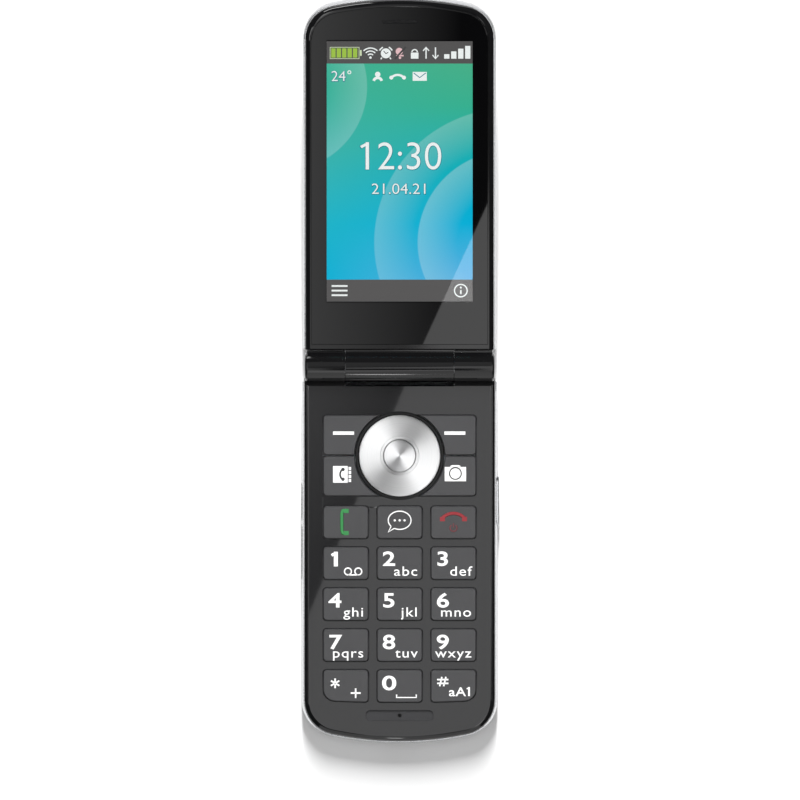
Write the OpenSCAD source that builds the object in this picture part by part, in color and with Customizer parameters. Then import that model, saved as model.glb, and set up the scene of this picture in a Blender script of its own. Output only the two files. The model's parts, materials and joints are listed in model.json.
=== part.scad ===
// Flip phone, lying open on its back, in millimetres.
// X runs across the phone, Y from the keypad end towards the lid, Z up from the table.
// The origin is on the flat back of the base, half way along it.
// The lid is drawn lying flat in line with the base and is then turned up to its open stop.

/* [Base] */
// Width of the base across its metal band
base_w = 54; // [51:0.5:60]
// Thickness of the base from its back to its key face
base_h = 10.6; // [10.4:0.1:12]
// Distance from the hinge axis to the bottom end
base_reach = 104; // [101:0.5:112]
// Radius of the bowed ends in plan
end_r = 92; // [75:1:160]
// Radius of the corners in plan
corner_r = 10.2; // [8:0.2:12]
// Height of the widest line of the metal band
band_z = 6.4; // [5.6:0.1:7]
// How far the sides tuck in at the back
back_tuck = 4.6; // [3:0.1:5]
// Height of the black front housing above the metal band
rim_h = 1.4; // [1.2:0.1:1.8]
// Width of the rounded edge of the black rim
rim_round = 1.35; // [0.8:0.05:1.6]

/* [Lid] */
// How much narrower the lid is on each side
lid_in = 0.3; // [0.2:0.05:0.6]
// Thickness of the lid
lid_h = 8; // [7.8:0.1:9]
// Space between the two faces when the phone is shut
shut_gap = 0.8; // [0.7:0.1:1.4]
// Angle of the open lid above the line of the base
open_tilt = 12; // [5:1:25]
// Distance from the hinge axis to the foot of the lid
lid_foot = 4.5; // [4.4:0.1:6]

/* [Hinge] */
// Radius of the hinge barrel
barrel_r = 4.05; // [3.9:0.05:4.4]
// How far each end of the barrel lies inside the widest line of the base
barrel_in = 0.8; // [0.5:0.1:1.2]
// Length of each side knuckle, which belongs to the base
side_knuckle = 11.2; // [11:0.1:13]
// Space between neighbouring knuckles
knuckle_gap = 0.1; // [0.05:0.05:0.3]
// Distance from the hinge axis at which the key face ends
face_end = 5.25; // [5:0.05:6.5]
// Radius of the spring module in the left knuckle
can_r = 3; // [2.6:0.1:3.2]
// Radius of the hollow pin in the right knuckle
bush_r = 2.25; // [1.8:0.05:2.6]

/* [Keys] */
// Distance from the side of the base to the outer columns
key_side = 5.88; // [5.5:0.02:6.6]
// Width of the web between two columns
column_web = 2.37; // [1.6:0.01:3]
// Width of the web between two rows
row_web = 2.3; // [1.6:0.1:3]
// Width of the web between the soft keys and the first row
block_web = 2.8; // [2:0.1:3.4]
// Distance from the last row to the bottom end
keypad_end = 11.4; // [11:0.1:13]
// Clearance round a key
key_gap = 0.2; // [0.12:0.02:0.3]
// Height of the keys above the face
key_proud = 0.2; // [0.1:0.05:0.4]
// Travel of a key
key_travel = 0.3; // [0.2:0.05:0.35]
// Radius of a key's corners
key_r = 1; // [0.6:0.1:2]

/* [Navigation key] */
// Distance from the hinge axis to the centre of the ring
ring_at = 24.5; // [24.3:0.1:25.2]
// Radius of the metal ring
ring_r = 11.25; // [10.5:0.05:11.6]
// Radius of the hole in the ring
ring_hole = 5.2; // [4.8:0.1:6]
// Radius of the middle button
ok_r = 4.45; // [3.8:0.05:4.6]
// Width of the black collar round the ring
collar_w = 0.8; // [0.6:0.05:1.2]
// How far the collar stands out past the soft keys, above and below
collar_over = 1.05; // [0.8:0.05:2]
// Tilt of the ring to each side
ring_tilt = 1.2; // [0.8:0.1:1.3]

/* [Battery] */
// Width of the battery
battery_w = 34; // [30:0.5:36]
// Distance from the hinge axis to the battery bay
bay_from_axis = 23.8; // [23:0.1:25]
// Distance from the bottom end to the battery bay
bay_from_end = 29.4; // [28:0.1:32]
// Thickness of the wall between battery and board
bay_roof = 0.55; // [0.5:0.05:1]
// Thickness of the battery cover
cover_t = 1.2; // [0.8:0.1:1.2]

/* [Display] */
// Distance from the side of the lid to the lit part of the display
view_side = 6.55; // [6:0.05:8]
// Distance from the hinge axis to the lit part of the display
view_from_axis = 18.3; // [17.5:0.1:20]
// Distance from the far end of the lid to the lit part of the display
view_from_end = 12.1; // [11.6:0.1:16]
// Thickness of the display panel
panel_t = 1.5; // [1.2:0.1:1.5]
// Thickness of the display window
window_t = 0.75; // [0.6:0.05:0.8]
// Inset of the window from the outline of the lid
window_in = 2.45; // [2.3:0.05:3.5]

/* [Side keys] */
// Length of the upper key on the left
left_key_l = 10.8; // [8:0.1:11]
// Length of the volume key
volume_l = 15.6; // [12:0.1:15.8]
// Length of the key on the right
right_key_l = 13.8; // [10:0.1:15]
// Height of the side keys
side_key_h = 2.8; // [2.2:0.1:3]
// How far the right key stands out
right_proud = 0.45; // [0.2:0.05:0.6]
// How far the left keys stand out
left_proud = 0.15; // [0.1:0.05:0.5]

/* [Hidden] */
$fn = 48;

// clearances
fit = 0.1;           // between pieces that are fixed together
run = 0.05;          // round a turning shaft
cut = 1;             // how far a cutter passes through a face

// the shared frame
hinge_y = 50;
hinge_z = base_h + shut_gap / 2;
base_half = base_w / 2;
lid_half = base_half - lid_in;
barrel_half = base_half - barrel_in;
knuckle_half = barrel_half - side_knuckle;
tip_y = hinge_y - base_reach;
rim_in = 0.6;                                // rim inset from the metal band
corner_steps = 8;
end_steps = 12;
nip_x = 0.9;                                 // how far the sides step in beside the barrel
nip_y = 1.3;
nip_at = face_end - 0.95;

// heights in the base, from the back up
band_top = base_h - rim_h;
seam_z = 2.4;                                // between battery cover and band
battery_z = cover_t + 2 * fit;
plate_z = band_top;                          // underside of the key plate
flange_t = 0.5;
flange_gap = 0.1;
flange_z = plate_z - flange_gap - flange_t;
mat_t = 0.4;
mat_z = flange_z - key_travel - 0.05 - mat_t;
dome_h = 0.22;
sheet_t = 0.15;
board_t = 0.8;
board_top = mat_z - 0.65;
board_z = board_top - board_t;
floor_z = board_z - 0.05;
bay_top = floor_z - bay_roof;
battery_t = bay_top - fit - battery_z;
side_z = plate_z - side_key_h / 2 - 1.5;     // middle of the side keys
port_z = board_z - 1.4;                      // middle of the charging port
flange_w = 0.5;
key_round = 0.3;                             // rounding of a key's top edge
end_key_r = 3.1;                             // outer corner of the two outer keys of the last row
end_key_rise = 0.4;

// heights in the lid, from its back up, while it lies flat
lid_top = hinge_z - shut_gap / 2;
lid_z = lid_top - lid_h;
lid_band_z = lid_z + 4.2;
lid_tuck = 4.4;
lid_rim_z = lid_top - 1.7;
window_z = lid_top - window_t;
panel_z = lid_rim_z - panel_t - 0.05;
lid_floor_t = 0.8;
lid_board_t = 0.65;
lid_board_z = panel_z - 0.85 - lid_board_t;
lid_seam_z = lid_board_z - 0.05 - lid_floor_t;
ledge_in = 5.2;
wall = 1.9;

// keys
ring_gap = 0.15;                             // round the metal ring
collar_r = ring_r + ring_gap + collar_w;
block_at = ring_at - 0.05;                   // hinge axis to the middle of the soft keys
block_l = 2 * (collar_r - collar_over);
block_half = base_half - key_side;
soft_in = 3;                                 // inner end of a soft key, under the collar
key_w = (2 * block_half - 2 * column_web) / 3;
key_pitch_x = key_w + column_web;
rows_top = hinge_y - block_at - block_l / 2 - block_web;
key_l = (rows_top - tip_y - keypad_end - 4 * row_web) / 5;
key_pitch_y = key_l + row_web;

// display
view_w = 2 * (lid_half - view_side);
view_l = base_reach - view_from_axis - view_from_end;
view_at = view_from_axis + view_l / 2;

// places
ring_y = hinge_y - ring_at;
block_mid = hinge_y - block_at;
cover_end = hinge_y - 7;
bay_y0 = tip_y + bay_from_end;
bay_y1 = hinge_y - bay_from_axis;
bay_play = 0.3;                              // battery in its bay
contact_room = 0.4;
battery_l = bay_y1 - bay_y0 - 2 * bay_play - contact_room;
battery_y = bay_y0 + bay_play - 0.1 + battery_l / 2;
screw_r = 0.7;
boss_r = 1.5;
top_screw_x = base_half - 7;
end_screw_x = base_half - 12.5;
end_screw_y = tip_y + end_drop(end_screw_x) + 5.65;
base_screw_at = [[top_screw_x, cover_end - 2.8], [-top_screw_x, cover_end - 2.8],
                 [end_screw_x, end_screw_y], [-end_screw_x, end_screw_y]];
lid_screw_x = lid_half - 13.7;
lid_screw_s = base_reach - end_drop(lid_screw_x) - 4.68;
lid_screw_at = [[lid_half - 8.7, 9.6], [8.7 - lid_half, 9.6],
                [lid_screw_x, lid_screw_s], [-lid_screw_x, lid_screw_s]];
left_key_y = 12.8;
volume_y = left_key_y - left_key_l / 2 - 0.65 - volume_l / 2;
right_key_y = 13;
slot_w = 18.6;
slot_l = 3;
slot_r = 1.2;
slot_web = 2.15;                             // between the last row and the slot
slot_at = tip_y + keypad_end - slot_web - slot_l / 2;
mic_r = 1.9;
slot_deep = 0.5;
ear_at = base_reach - view_from_end + 5.5;
ear_w = 9.5;
ear_l = 0.97;
camera_at = base_reach - 18;
camera_s = 8.5;
speaker_w = 15;
speaker_l = 10.8;
speaker_x = -10;
speaker_y = tip_y + 17.8;
motor_r = 4;
motor_t = 2.7;
motor_x = 12;
sim_w = 15.1;
sim_x = 2.1 - top_screw_x;
speaker_t = 3.2;
speaker_z = cover_t + 0.4;
magnet_at = view_at + 4.9;
motor_y = tip_y + 18;
column = [-key_pitch_x, 0, key_pitch_x];

// ---------- outlines ----------

function arc(cx, cy, r, a0, a1, n) =
    [for (i = [0:n]) [cx + r * cos(a0 + (a1 - a0) * i / n), cy + r * sin(a0 + (a1 - a0) * i / n)]];

// Outline with straight sides, round corners and a bowed end at -y.
// half: half width, reach: axis to end, d: inset, top: y of the straight end,
// nip: how far the sides step in above the step line
function plan(half, reach, d, top, nip = 0, step = 0) =
    let (cx = half - corner_r,
         ey = hinge_y - reach + end_r,
         cy = ey - sqrt(pow(end_r - corner_r, 2) - pow(cx, 2)),
         a = acos(cx / (end_r - corner_r)),
         bow = arc(0, ey, end_r - d, 180 + a, 360 - a, end_steps),
         side = nip > 0
             ? [[half - d, step], [half - d - nip, step + nip_y], [half - d - nip, top]]
             : [[half - d, top]])
    concat(
        [for (i = [len(side) - 1:-1:0]) [-side[i][0], side[i][1]]],
        arc(-cx, cy, corner_r - d, 180, 180 + a, corner_steps),
        [for (i = [1:end_steps - 1]) bow[i]],
        arc(cx, cy, corner_r - d, -a, 0, corner_steps),
        side);

// How far a bowed end falls back at x
function end_drop(x) = end_r - sqrt(pow(end_r, 2) - pow(x, 2));

function flipped(pts) = [for (i = [len(pts) - 1:-1:0]) [pts[i][0], 2 * hinge_y - pts[i][1]]];
function base_plan(d, top) = plan(base_half, base_reach, d, top);
function lid_plan(d, foot) = flipped(plan(lid_half, base_reach, d, hinge_y - foot));

// Rectangle with four corners of their own radii, inset by d
function cornered(w, l, rs, d = 0, steps = 4) =
    [for (k = [0:3])
        let (q = max(rs[k] - d, 0.05),
             x = (k == 0 || k == 3 ? 1 : -1) * (w / 2 - d - q),
             y = (k < 2 ? 1 : -1) * (l / 2 - d - q))
        each arc(x, y, q, 90 * k, 90 * k + 90, steps)];

function rounded(w, l, r, d = 0, steps = 4) = cornered(w, l, [r, r, r, r], d, steps);

function moved(pts, x, y) = [for (p = pts) [p[0] + x, p[1] + y]];

// Inset of a side that is a quarter ellipse below its widest line and crowned above it
function flank(z, foot, wide, tuck, top, crown) =
    z < wide ? tuck * (1 - sqrt(max(0, 1 - pow((wide - z) / (wide - foot), 2))))
             : crown * pow((z - wide) / (top - wide), 2);

function low_levels(foot, wide) = [for (t = [90:-15:0]) foot + (wide - foot) * (1 - sin(t))];

// ---------- solids ----------

// Skin through a stack of outlines that have the same number of points
module loft(rings, zs) {
    n = len(rings[0]);
    m = len(rings);
    points = [for (k = [0:m - 1]) for (p = rings[k]) [p[0], p[1], zs[k]]];
    walls = [for (k = [0:m - 2]) for (i = [0:n - 1])
        [k * n + i, (k + 1) * n + i, (k + 1) * n + (i + 1) % n, k * n + (i + 1) % n]];
    polyhedron(points, concat([[for (i = [0:n - 1]) i]], walls,
                              [[for (i = [n - 1:-1:0]) (m - 1) * n + i]]));
}

module prism(pts, z0, z1) translate([0, 0, z0]) linear_extrude(z1 - z0) polygon(pts);

module block(x0, x1, y0, y1, z0, z1) translate([x0, y0, z0]) cube([x1 - x0, y1 - y0, z1 - z0]);

// Profile in Y and Z, drawn out along X
module along_x(x0, x1) translate([x0, 0, 0]) rotate([90, 0, 90]) linear_extrude(x1 - x0) children();

// Round bar on the hinge axis
module axle(r, x0, x1) translate([x0, hinge_y, hinge_z]) rotate([0, 90, 0]) cylinder(h = x1 - x0, r = r);

module upright(x, y, r, z0, z1) translate([x, y, z0]) cylinder(h = z1 - z0, r = r);

// Turns the flat lid up to its open stop
module in_lid()
    translate([0, hinge_y, hinge_z]) rotate([open_tilt, 0, 0]) translate([0, -hinge_y, -hinge_z]) children();

function lid_y(s) = hinge_y + s;

// ---------- base housings ----------

module knuckle_end(x, r) {
    // outer end of the barrel, with a rounded rim
    e = 0.7;
    len = x - knuckle_half - knuckle_gap;
    translate([knuckle_half + knuckle_gap, hinge_y, hinge_z]) rotate([0, 90, 0])
        rotate_extrude() polygon(concat([[0, 0], [r, 0]], arc(r - e, len - e, e, 0, 90, 4), [[0, len]]));
}

module both_sides() {
    children();
    mirror([1, 0, 0]) children();
}

function key_shape(x, y, d = 0) = moved(rounded(key_w, key_l, key_r, d), x, y);

// The two outer keys of the last row have a large outer corner and a bottom edge that rises outwards
function end_key_shape(x, d = 0) =
    let (out = sign(x),
         big = end_key_r,
         rs = [key_r, key_r, out < 0 ? big : key_r, out > 0 ? big : key_r])
    moved([for (p = cornered(key_w, key_l, rs, d))
        [p[0], p[1] + end_key_rise * (0.5 + out * p[0] / key_w) * (0.5 - p[1] / key_l)]], x, row_y(4));

module key_opening(pts) prism(pts, plate_z - cut, base_h + cut);

function row_y(i) = rows_top - key_l / 2 - i * key_pitch_y;

module base_front_housing() color("#3a3a3c") {
    lip_in = wall + fit;
    ts = [0:30:90];
    difference() {
        union() {
            intersection() {
                loft([for (t = ts) base_plan(rim_in + rim_round * (1 - cos(t)), hinge_y - 3)],
                     [for (t = ts) band_top + rim_h * sin(t)]);
                // the face ends in a bevel that runs down to the barrel
                along_x(-base_half, base_half) polygon([
                    [tip_y - cut, plate_z], [hinge_y - 3.1, plate_z], [hinge_y - 3.6, plate_z + 0.5],
                    [hinge_y - face_end, base_h], [tip_y - cut, base_h + cut]]);
            }
            both_sides() knuckle_end(barrel_half, barrel_r);
            // web between plate and barrel
            both_sides() along_x(knuckle_half + knuckle_gap, barrel_half - nip_x) polygon([
                [hinge_y - 6.5, plate_z - 0.6], [hinge_y - 1.5, plate_z - 0.9],
                [hinge_y - 1.5, base_h - 0.6], [hinge_y - 3.6, plate_z + 0.5],
                [hinge_y - face_end, base_h - 0.01], [hinge_y - 6.5, base_h - 0.01]]);
            // chin that closes the side knuckles off towards the foot of the lid
            both_sides() along_x(knuckle_half + knuckle_gap, barrel_half - 0.6) polygon([
                [hinge_y, hinge_z], at_foot(0.7), at_foot(2.4),
                [hinge_y + barrel_r, cradle_z + 0.2], [hinge_y, band_top + cut + 0.2]]);
            // lip that nests in the metal band
            difference() {
                prism(base_plan(lip_in, cover_end), plate_z - 0.9, plate_z + 0.2);
                prism(base_plan(lip_in + 0.8, cover_end - 0.8), plate_z - 2, plate_z + 0.1);
            }
            for (p = base_screw_at) upright(p[0], p[1], boss_r, board_top + 0.02, plate_z + 0.2);
        }
        // keys
        for (x = column) for (i = [0:3]) key_opening(key_shape(x, row_y(i), -key_gap));
        key_opening(key_shape(0, row_y(4), -key_gap));
        for (x = [-key_pitch_x, key_pitch_x]) key_opening(end_key_shape(x, -key_gap));
        // ring and soft keys, with the collar left standing between them
        upright(0, ring_y, ring_r + ring_gap, plate_z - cut, base_h + cut);
        difference() {
            prism(moved(rounded(2 * (block_half + key_gap), block_l + 2 * key_gap, key_r + key_gap), 0, block_mid),
                  plate_z - cut, base_h + cut);
            upright(0, ring_y, collar_r, plate_z - 2 * cut, base_h + 2 * cut);
        }
        // slot at the bottom end with the microphone hole
        prism(moved(rounded(slot_w, slot_l, slot_r), 0, slot_at), base_h - slot_deep, base_h + cut);
        upright(0, slot_at, 0.5, plate_z - cut, base_h + cut);
        // screw holes in the bosses
        for (p = base_screw_at) upright(p[0], p[1], screw_r + run, board_top - cut, base_h - 0.9);
        // windows in the lip for the side keys
        both_sides() block(base_half - wall - 2.2, base_half - wall + 0.05, volume_y - volume_l / 2 - 1,
                           left_key_y + left_key_l / 2 + 3, plate_z - 2, plate_z - 0.01);
        // room for the lid's knuckle
        axle(face_end + 0.1, -knuckle_half - knuckle_gap, knuckle_half + knuckle_gap);
        // seat of the spring module, with two flats, and of the hollow pin
        intersection() {
            axle(can_r + run, -knuckle_half - 10.4, -knuckle_half);
            block(-base_half, 0, hinge_y - can_flat - run, hinge_y + can_flat + run,
                  hinge_z - barrel_r, hinge_z + barrel_r);
        }
        axle(bush_r + 0.02, knuckle_half, knuckle_half + 7);
    }
}
can_flat = 2.7;
cradle_z = hinge_z - 3.5;                    // top of the cradle on the lid's side
// point just clear of the lid's foot, so far below the hinge axis
function at_foot(below) =
    let (out = lid_foot - 0.15)
    [hinge_y + out * cos(open_tilt) + below * sin(open_tilt), hinge_z + out * sin(open_tilt) - below * cos(open_tilt)];
module rest_profile() {
    // outline of the hinge end, seen from the side
    end = hinge_y + barrel_r;
    polygon([[tip_y - cut, -cut], [end - 2.6, -cut], [end - 2.6, 0], [end - 1.2, 0.55], [end - 0.3, 1.6],
             [end, 3], [end, cradle_z], [hinge_y, band_top + cut], [tip_y - cut, band_top + cut]]);
}

module side_slot(y, l, h) {
    // opening in the right side wall for a key, with the pocket for its flange
    block(base_half - wall, base_half + cut, y - l / 2 - fit, y + l / 2 + fit, side_z - h / 2 - fit, side_z + h / 2 + fit);
    block(base_half - 3.6, base_half - 1.6, y - l / 2 - fit, y + l / 2 + fit,
          side_z - h / 2 - flange_w - fit, side_z + h / 2 + flange_w + fit);
}

module base_rear_housing() color("#b9babd") {
    zs = concat(low_levels(0, band_z), [(band_z + band_top) / 2, band_top]);
    rib_in = 3;
    difference() {
        intersection() {
            loft([for (z = zs) plan(base_half, base_reach, flank(z, 0, band_z, back_tuck, band_top, 0.45),
                                    hinge_y + barrel_r + cut, nip_x, hinge_y - nip_at)], zs);
            along_x(-base_half - cut, base_half + cut) rest_profile();
        }
        // the battery cover's place, round the inner rib
        difference() {
            block(-base_half - cut, base_half + cut, tip_y - cut, cover_end + 0.05, -cut, seam_z);
            prism(base_plan(rib_in, cover_end - 1.1), cover_t + 0.15, seam_z + cut);
        }
        // tray for the board and the keypad
        prism(base_plan(wall, cover_end), floor_z, band_top + cut);
        // battery bay
        block(-battery_w / 2 - bay_play, battery_w / 2 + bay_play, bay_y0, bay_y1, -cut, bay_top);
        for (x = contact_x) block(x - 0.9, x + 0.9, bay_y1 - 0.5, bay_y1 + 1.3, 2.2, floor_z + cut);
        // pockets: speaker and card holder from behind, shields, motor and port from above
        prism(moved(rounded(speaker_w + 0.8, speaker_l + 0.8, 1), speaker_x, speaker_y), -cut, speaker_z + speaker_t + fit);
        upright(motor_x, motor_y, motor_r + 0.2, board_z - motor_t - 0.3, floor_z + cut);
        block(sim_x - 0.3, sim_x + sim_w + 0.3, bay_y1 + 1.9, cover_end - 1.6, -cut, 3.3);
        block(-16, 16, bay_y1 + 1.9, cover_end - 4.2, board_z - 1.9, floor_z + cut);
        block(-3.9, 3.9, tip_y - cut, tip_y + 6.6, port_z - 1.35, floor_z + cut);
        // screws
        for (p = base_screw_at) {
            upright(p[0], p[1], screw_r + 0.2, 0.5, floor_z + cut);
            upright(p[0], p[1], 1.6, 0.2, 2.6);
        }
        // side keys
        side_slot(right_key_y, right_key_l, side_key_h);
        mirror([1, 0, 0]) side_slot(left_key_y, left_key_l, side_key_h);
        mirror([1, 0, 0]) side_slot(volume_y, volume_l, side_key_h);
        mirror([1, 0, 0]) block(base_half - 3.6, base_half - 1.6, volume_y, left_key_y,
                                side_z - side_key_h / 2 - flange_w - fit, side_z + side_key_h / 2 + flange_w + fit);
        // cradle under the barrel
        axle(barrel_r + fit, -base_half - cut, base_half + cut);
        axle(face_end + 0.1, -knuckle_half - knuckle_gap, knuckle_half + knuckle_gap);
        block(-knuckle_half - knuckle_gap, knuckle_half + knuckle_gap, hinge_y, hinge_y + barrel_r + cut,
              hinge_z - face_end - 0.1, hinge_z);
        both_sides() along_x(knuckle_half, base_half) polygon([
            [hinge_y - 6.6, plate_z - 0.7], [hinge_y - 1.4, plate_z - 1], [hinge_y, band_top + cut], [hinge_y - 6.6, band_top + cut]]);
    }
}
contact_x = [-9, -5, -1];

module battery_cover() color("#2b2b2d") {
    zs = concat([for (z = low_levels(0, band_z)) if (z < seam_z - 0.1) z], [seam_z - 0.05]);
    difference() {
        loft([for (z = zs) base_plan(flank(z, 0, band_z, back_tuck, band_top, 0.45), cover_end)], zs);
        prism(base_plan(2.9, cover_end - 1), cover_t, seam_z + cut);
        // thumb notch and sound slots
        translate([0, tip_y + 8.5, -0.1]) cylinder(h = 0.5, r1 = 3.4, r2 = 2.4);
        for (i = [-2:2]) prism(moved(rounded(8, 0.8, 0.39), speaker_x, speaker_y + 1.7 * i), -cut, cover_t + cut);
    }
}

// ---------- inside the base ----------

module battery() color("#20242a")
    prism(moved(rounded(battery_w, battery_l, 1.5), 0, battery_y), battery_z, battery_z + battery_t);

module battery_contacts() color("#c9a24a")
    for (x = contact_x) {
        along_x(x - 0.7, x + 0.7) polygon([
            [bay_y1 + 1.1, board_z], [bay_y1 + 0.7, board_z], [bay_y1 + 0.7, 5], [bay_y1 - 0.25, 3.7],
            [bay_y1 + 0.5, 2.5], [bay_y1 + 0.8, 2.7], [bay_y1 + 0.15, 3.7], [bay_y1 + 1.1, 4.8]]);
    }

module main_board() color("#1f5d3a")
    difference() {
        prism(base_plan(wall + 0.9, cover_end - 0.3), board_z, board_top);
        for (p = base_screw_at) upright(p[0], p[1], screw_r + 0.2, board_z - cut, board_top + cut);
    }

module shield_cans() color("#a9adb2")
    for (x = [-8, 8]) difference() {
        prism(moved(rounded(14.6, 8, 0.6), x, (bay_y1 + 1.9 + cover_end - 4.2) / 2), board_z - 1.3, board_z);
        prism(moved(rounded(14.2, 7.6, 0.4), x, (bay_y1 + 1.9 + cover_end - 4.2) / 2), board_z - 1.1, board_z + cut);
    }

module sim_socket() color("#b4b6b8")
    difference() {
        block(sim_x, sim_x + sim_w, bay_y1 + 2.3, cover_end - 2, 1.6, 3.2);
        block(sim_x + 1, sim_x + sim_w - 1, bay_y1 + 1.9, cover_end - 3, 2, 2.8);
        block(sim_x + 3.4, sim_x + sim_w - 3.4, bay_y1 + 4.5, cover_end - 5, 1, 2.4);
    }

mat_half = block_half + flange_w + 0.5;
mat_y0 = row_y(4) - key_l / 2 - 1;
mat_y1 = hinge_y - 11.5;
dome_out = (ring_r + ring_hole) / 2;
dome_at = concat(
    [for (x = column) for (i = [0:4]) [x, row_y(i)]],
    [for (x = [-1, 1]) for (y = [-1, 1]) [x * (block_half - 3.9), block_mid + y * block_l / 4]],
    [[0, ring_y], [dome_out, ring_y], [-dome_out, ring_y], [0, ring_y + dome_out], [0, ring_y - dome_out]]);

module dome_sheet() color("#c7c9cb") {
    prism(moved(rounded(2 * mat_half, mat_y1 - mat_y0, 2), 0, (mat_y0 + mat_y1) / 2), board_top, board_top + sheet_t);
    for (p = dome_at) translate([p[0], p[1], board_top + sheet_t - 0.01]) cylinder(h = dome_h, r1 = 1.9, r2 = 1.1, $fn = 24);
}

module keypad_mat() color("#8d9296")
    difference() {
        union() {
            prism(moved(rounded(2 * mat_half, mat_y1 - mat_y0, 2), 0, (mat_y0 + mat_y1) / 2), mat_z, mat_z + mat_t);
            for (p = dome_at) upright(p[0], p[1], 1, board_top + sheet_t + dome_h + 0.03, mat_z + 0.1);
        }
        upright(0, ring_y, collar_r + 0.1, mat_z + 0.15, mat_z + cut);
    }

module loudspeaker() color("#2a2a2a") {
    prism(moved(rounded(speaker_w, speaker_l, 1.5), speaker_x, speaker_y), speaker_z, speaker_z + 0.8 * speaker_t);
    prism(moved(rounded(0.74 * speaker_w, 0.65 * speaker_l, 0.19 * speaker_l), speaker_x, speaker_y),
          speaker_z + 0.7 * speaker_t, speaker_z + speaker_t);
}

module microphone() color("#b59b4c") upright(0, slot_at, mic_r, board_top, board_top + 1.2);

module vibration_motor() color("#9fa3a8") {
    upright(motor_x, motor_y, motor_r, board_z - motor_t, board_z);
}

module usb_port() color("#c2c4c7") {
    y0 = tip_y + 0.7;
    difference() {
        block(-3.75, 3.75, y0, y0 + 5.6, port_z - 1.25, port_z + 1.25);
        block(-3.45, 3.45, y0 - cut, y0 + 5.2, port_z - 0.95, port_z + 0.95);
    }
    block(-2, 2, y0 + 0.8, y0 + 5.4, port_z + 0.1, port_z + 0.6);
    for (x = [-3.75, 3.25]) block(x, x + 0.5, y0 + 2, y0 + 5, port_z + 1.2, board_z);
}

module antenna() color("#d8d6cc") {
    // bowed strip between the two screw bosses, with one arm to the board
    half = end_screw_x - boss_r - 1.4;
    turn = asin(half / end_r);
    out = end_r - wall - 1.4;
    in = end_r - (slot_at - tip_y - mic_r - 0.35);
    prism(concat(arc(0, tip_y + end_r, out, 270 - turn, 270 + turn, 8),
                 arc(0, tip_y + end_r, in, 270 + turn, 270 - turn, 8)),
          board_top + 0.05, plate_z - 1);
}

module tact_switch(y) {
    block(base_half - 4.1, base_half - 3, y - 1.5, y + 1.5, board_top, board_top + 0.95);
    block(base_half - 3.1, base_half - 2.7, y - 0.8, y + 0.8, board_top + 0.2, board_top + 0.75);
}

module side_switches() color("#d9d9d4") {
    tact_switch(right_key_y);
    mirror([1, 0, 0]) tact_switch(left_key_y);
    mirror([1, 0, 0]) for (s = [-1, 1]) tact_switch(volume_y + s * volume_l / 4);
}

module base_screws() color("#7c7f83")
    for (p = base_screw_at) {
        upright(p[0], p[1], screw_r, 2.3, base_h - 1.2);
        difference() {
            upright(p[0], p[1], 1.4, 1.7, 2.6);
            translate([p[0], p[1], 1.6]) cylinder(h = 0.6, r = 0.6, $fn = 6);
        }
    }

// ---------- hinge ----------

module hinge_can() color("#8f9296")
    difference() {
        intersection() {
            axle(can_r, -knuckle_half - 10.3, -knuckle_half - 0.6);
            block(-base_half, 0, hinge_y - can_flat, hinge_y + can_flat, hinge_z - barrel_r, hinge_z + barrel_r);
        }
        axle(can_r - 0.45, -knuckle_half - 9.9, -knuckle_half);
    }

module hinge_spring() color("#77797c") {
    // compression spring, flat pitch at both ends
    wire = 0.26;
    mean = can_r - 0.45 - fit - wire;
    turns = 5;
    per = 12;
    x0 = -knuckle_half - 9.6;
    pitch = 0.98;
    rings = [for (k = [0:turns * per])
        let (a = 360 * k / per)
        [for (j = [0:5]) let (b = 60 * j, r = mean + wire * cos(b))
            [x0 + pitch * k / per + wire * sin(b), hinge_y + r * cos(a), hinge_z + r * sin(a)]]];
    m = len(rings);
    polyhedron([for (r = rings) for (p = r) p],
               concat([[for (i = [5:-1:0]) i]],
                      [for (k = [0:m - 2]) for (i = [0:5]) for (h = [0, 1]) h == 0
                          ? [k * 6 + i, k * 6 + (i + 1) % 6, (k + 1) * 6 + (i + 1) % 6]
                          : [k * 6 + i, (k + 1) * 6 + (i + 1) % 6, (k + 1) * 6 + i]],
                      [[for (i = [0:5]) (m - 1) * 6 + i]]));
}

module hinge_cam() color("#a3a6a9")
    difference() {
        axle(can_r - 0.45 - fit, -knuckle_half - 4.2, -knuckle_half - 2);
        axle(1.05 + run, -knuckle_half - 5, -knuckle_half);
    }

module hinge_follower() color("#a3a6a9") {
    axle(1.05, -knuckle_half - 4, -knuckle_half - 1);
    axle(can_r - 0.45 - fit, -knuckle_half - 1.9, -knuckle_half - 0.2);
    in_lid() intersection() {
        axle(plug_r, -knuckle_half - 0.3, -knuckle_half + 3.5);
        block(-base_half, 0, hinge_y - plug_flat, hinge_y + plug_flat, hinge_z - barrel_r, hinge_z + barrel_r);
    }
}
plug_r = 2.4;
plug_flat = 2;

module hinge_bush() color("#b8babc")
    difference() {
        axle(bush_r, knuckle_half - 4.5, knuckle_half + 6.9);
        axle(bush_r - 0.55, knuckle_half - 5, knuckle_half + 8);
    }

// ---------- keys ----------

module key_flange(pts) prism(pts, flange_z, flange_z + flange_t);

module cap(shape) {
    // keycap with a rounded top edge; shape gives its outline at an inset
    top = base_h + key_proud;
    ts = [0:30:90];
    loft(concat([shape(0)], [for (t = ts) shape(key_round * (1 - cos(t)))]),
         concat([flange_z + 0.1], [for (t = ts) top - key_round * (1 - sin(t))]));
}

// keycap with the flange that holds it behind the plate
module plain_key(col, row) {
    cap(function (d) key_shape(column[col], row_y(row), d));
    key_flange(key_shape(column[col], row_y(row), -flange_w));
}

module end_key(col) {
    cap(function (d) end_key_shape(column[col], d));
    key_flange(end_key_shape(column[col], -flange_w));
}

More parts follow.
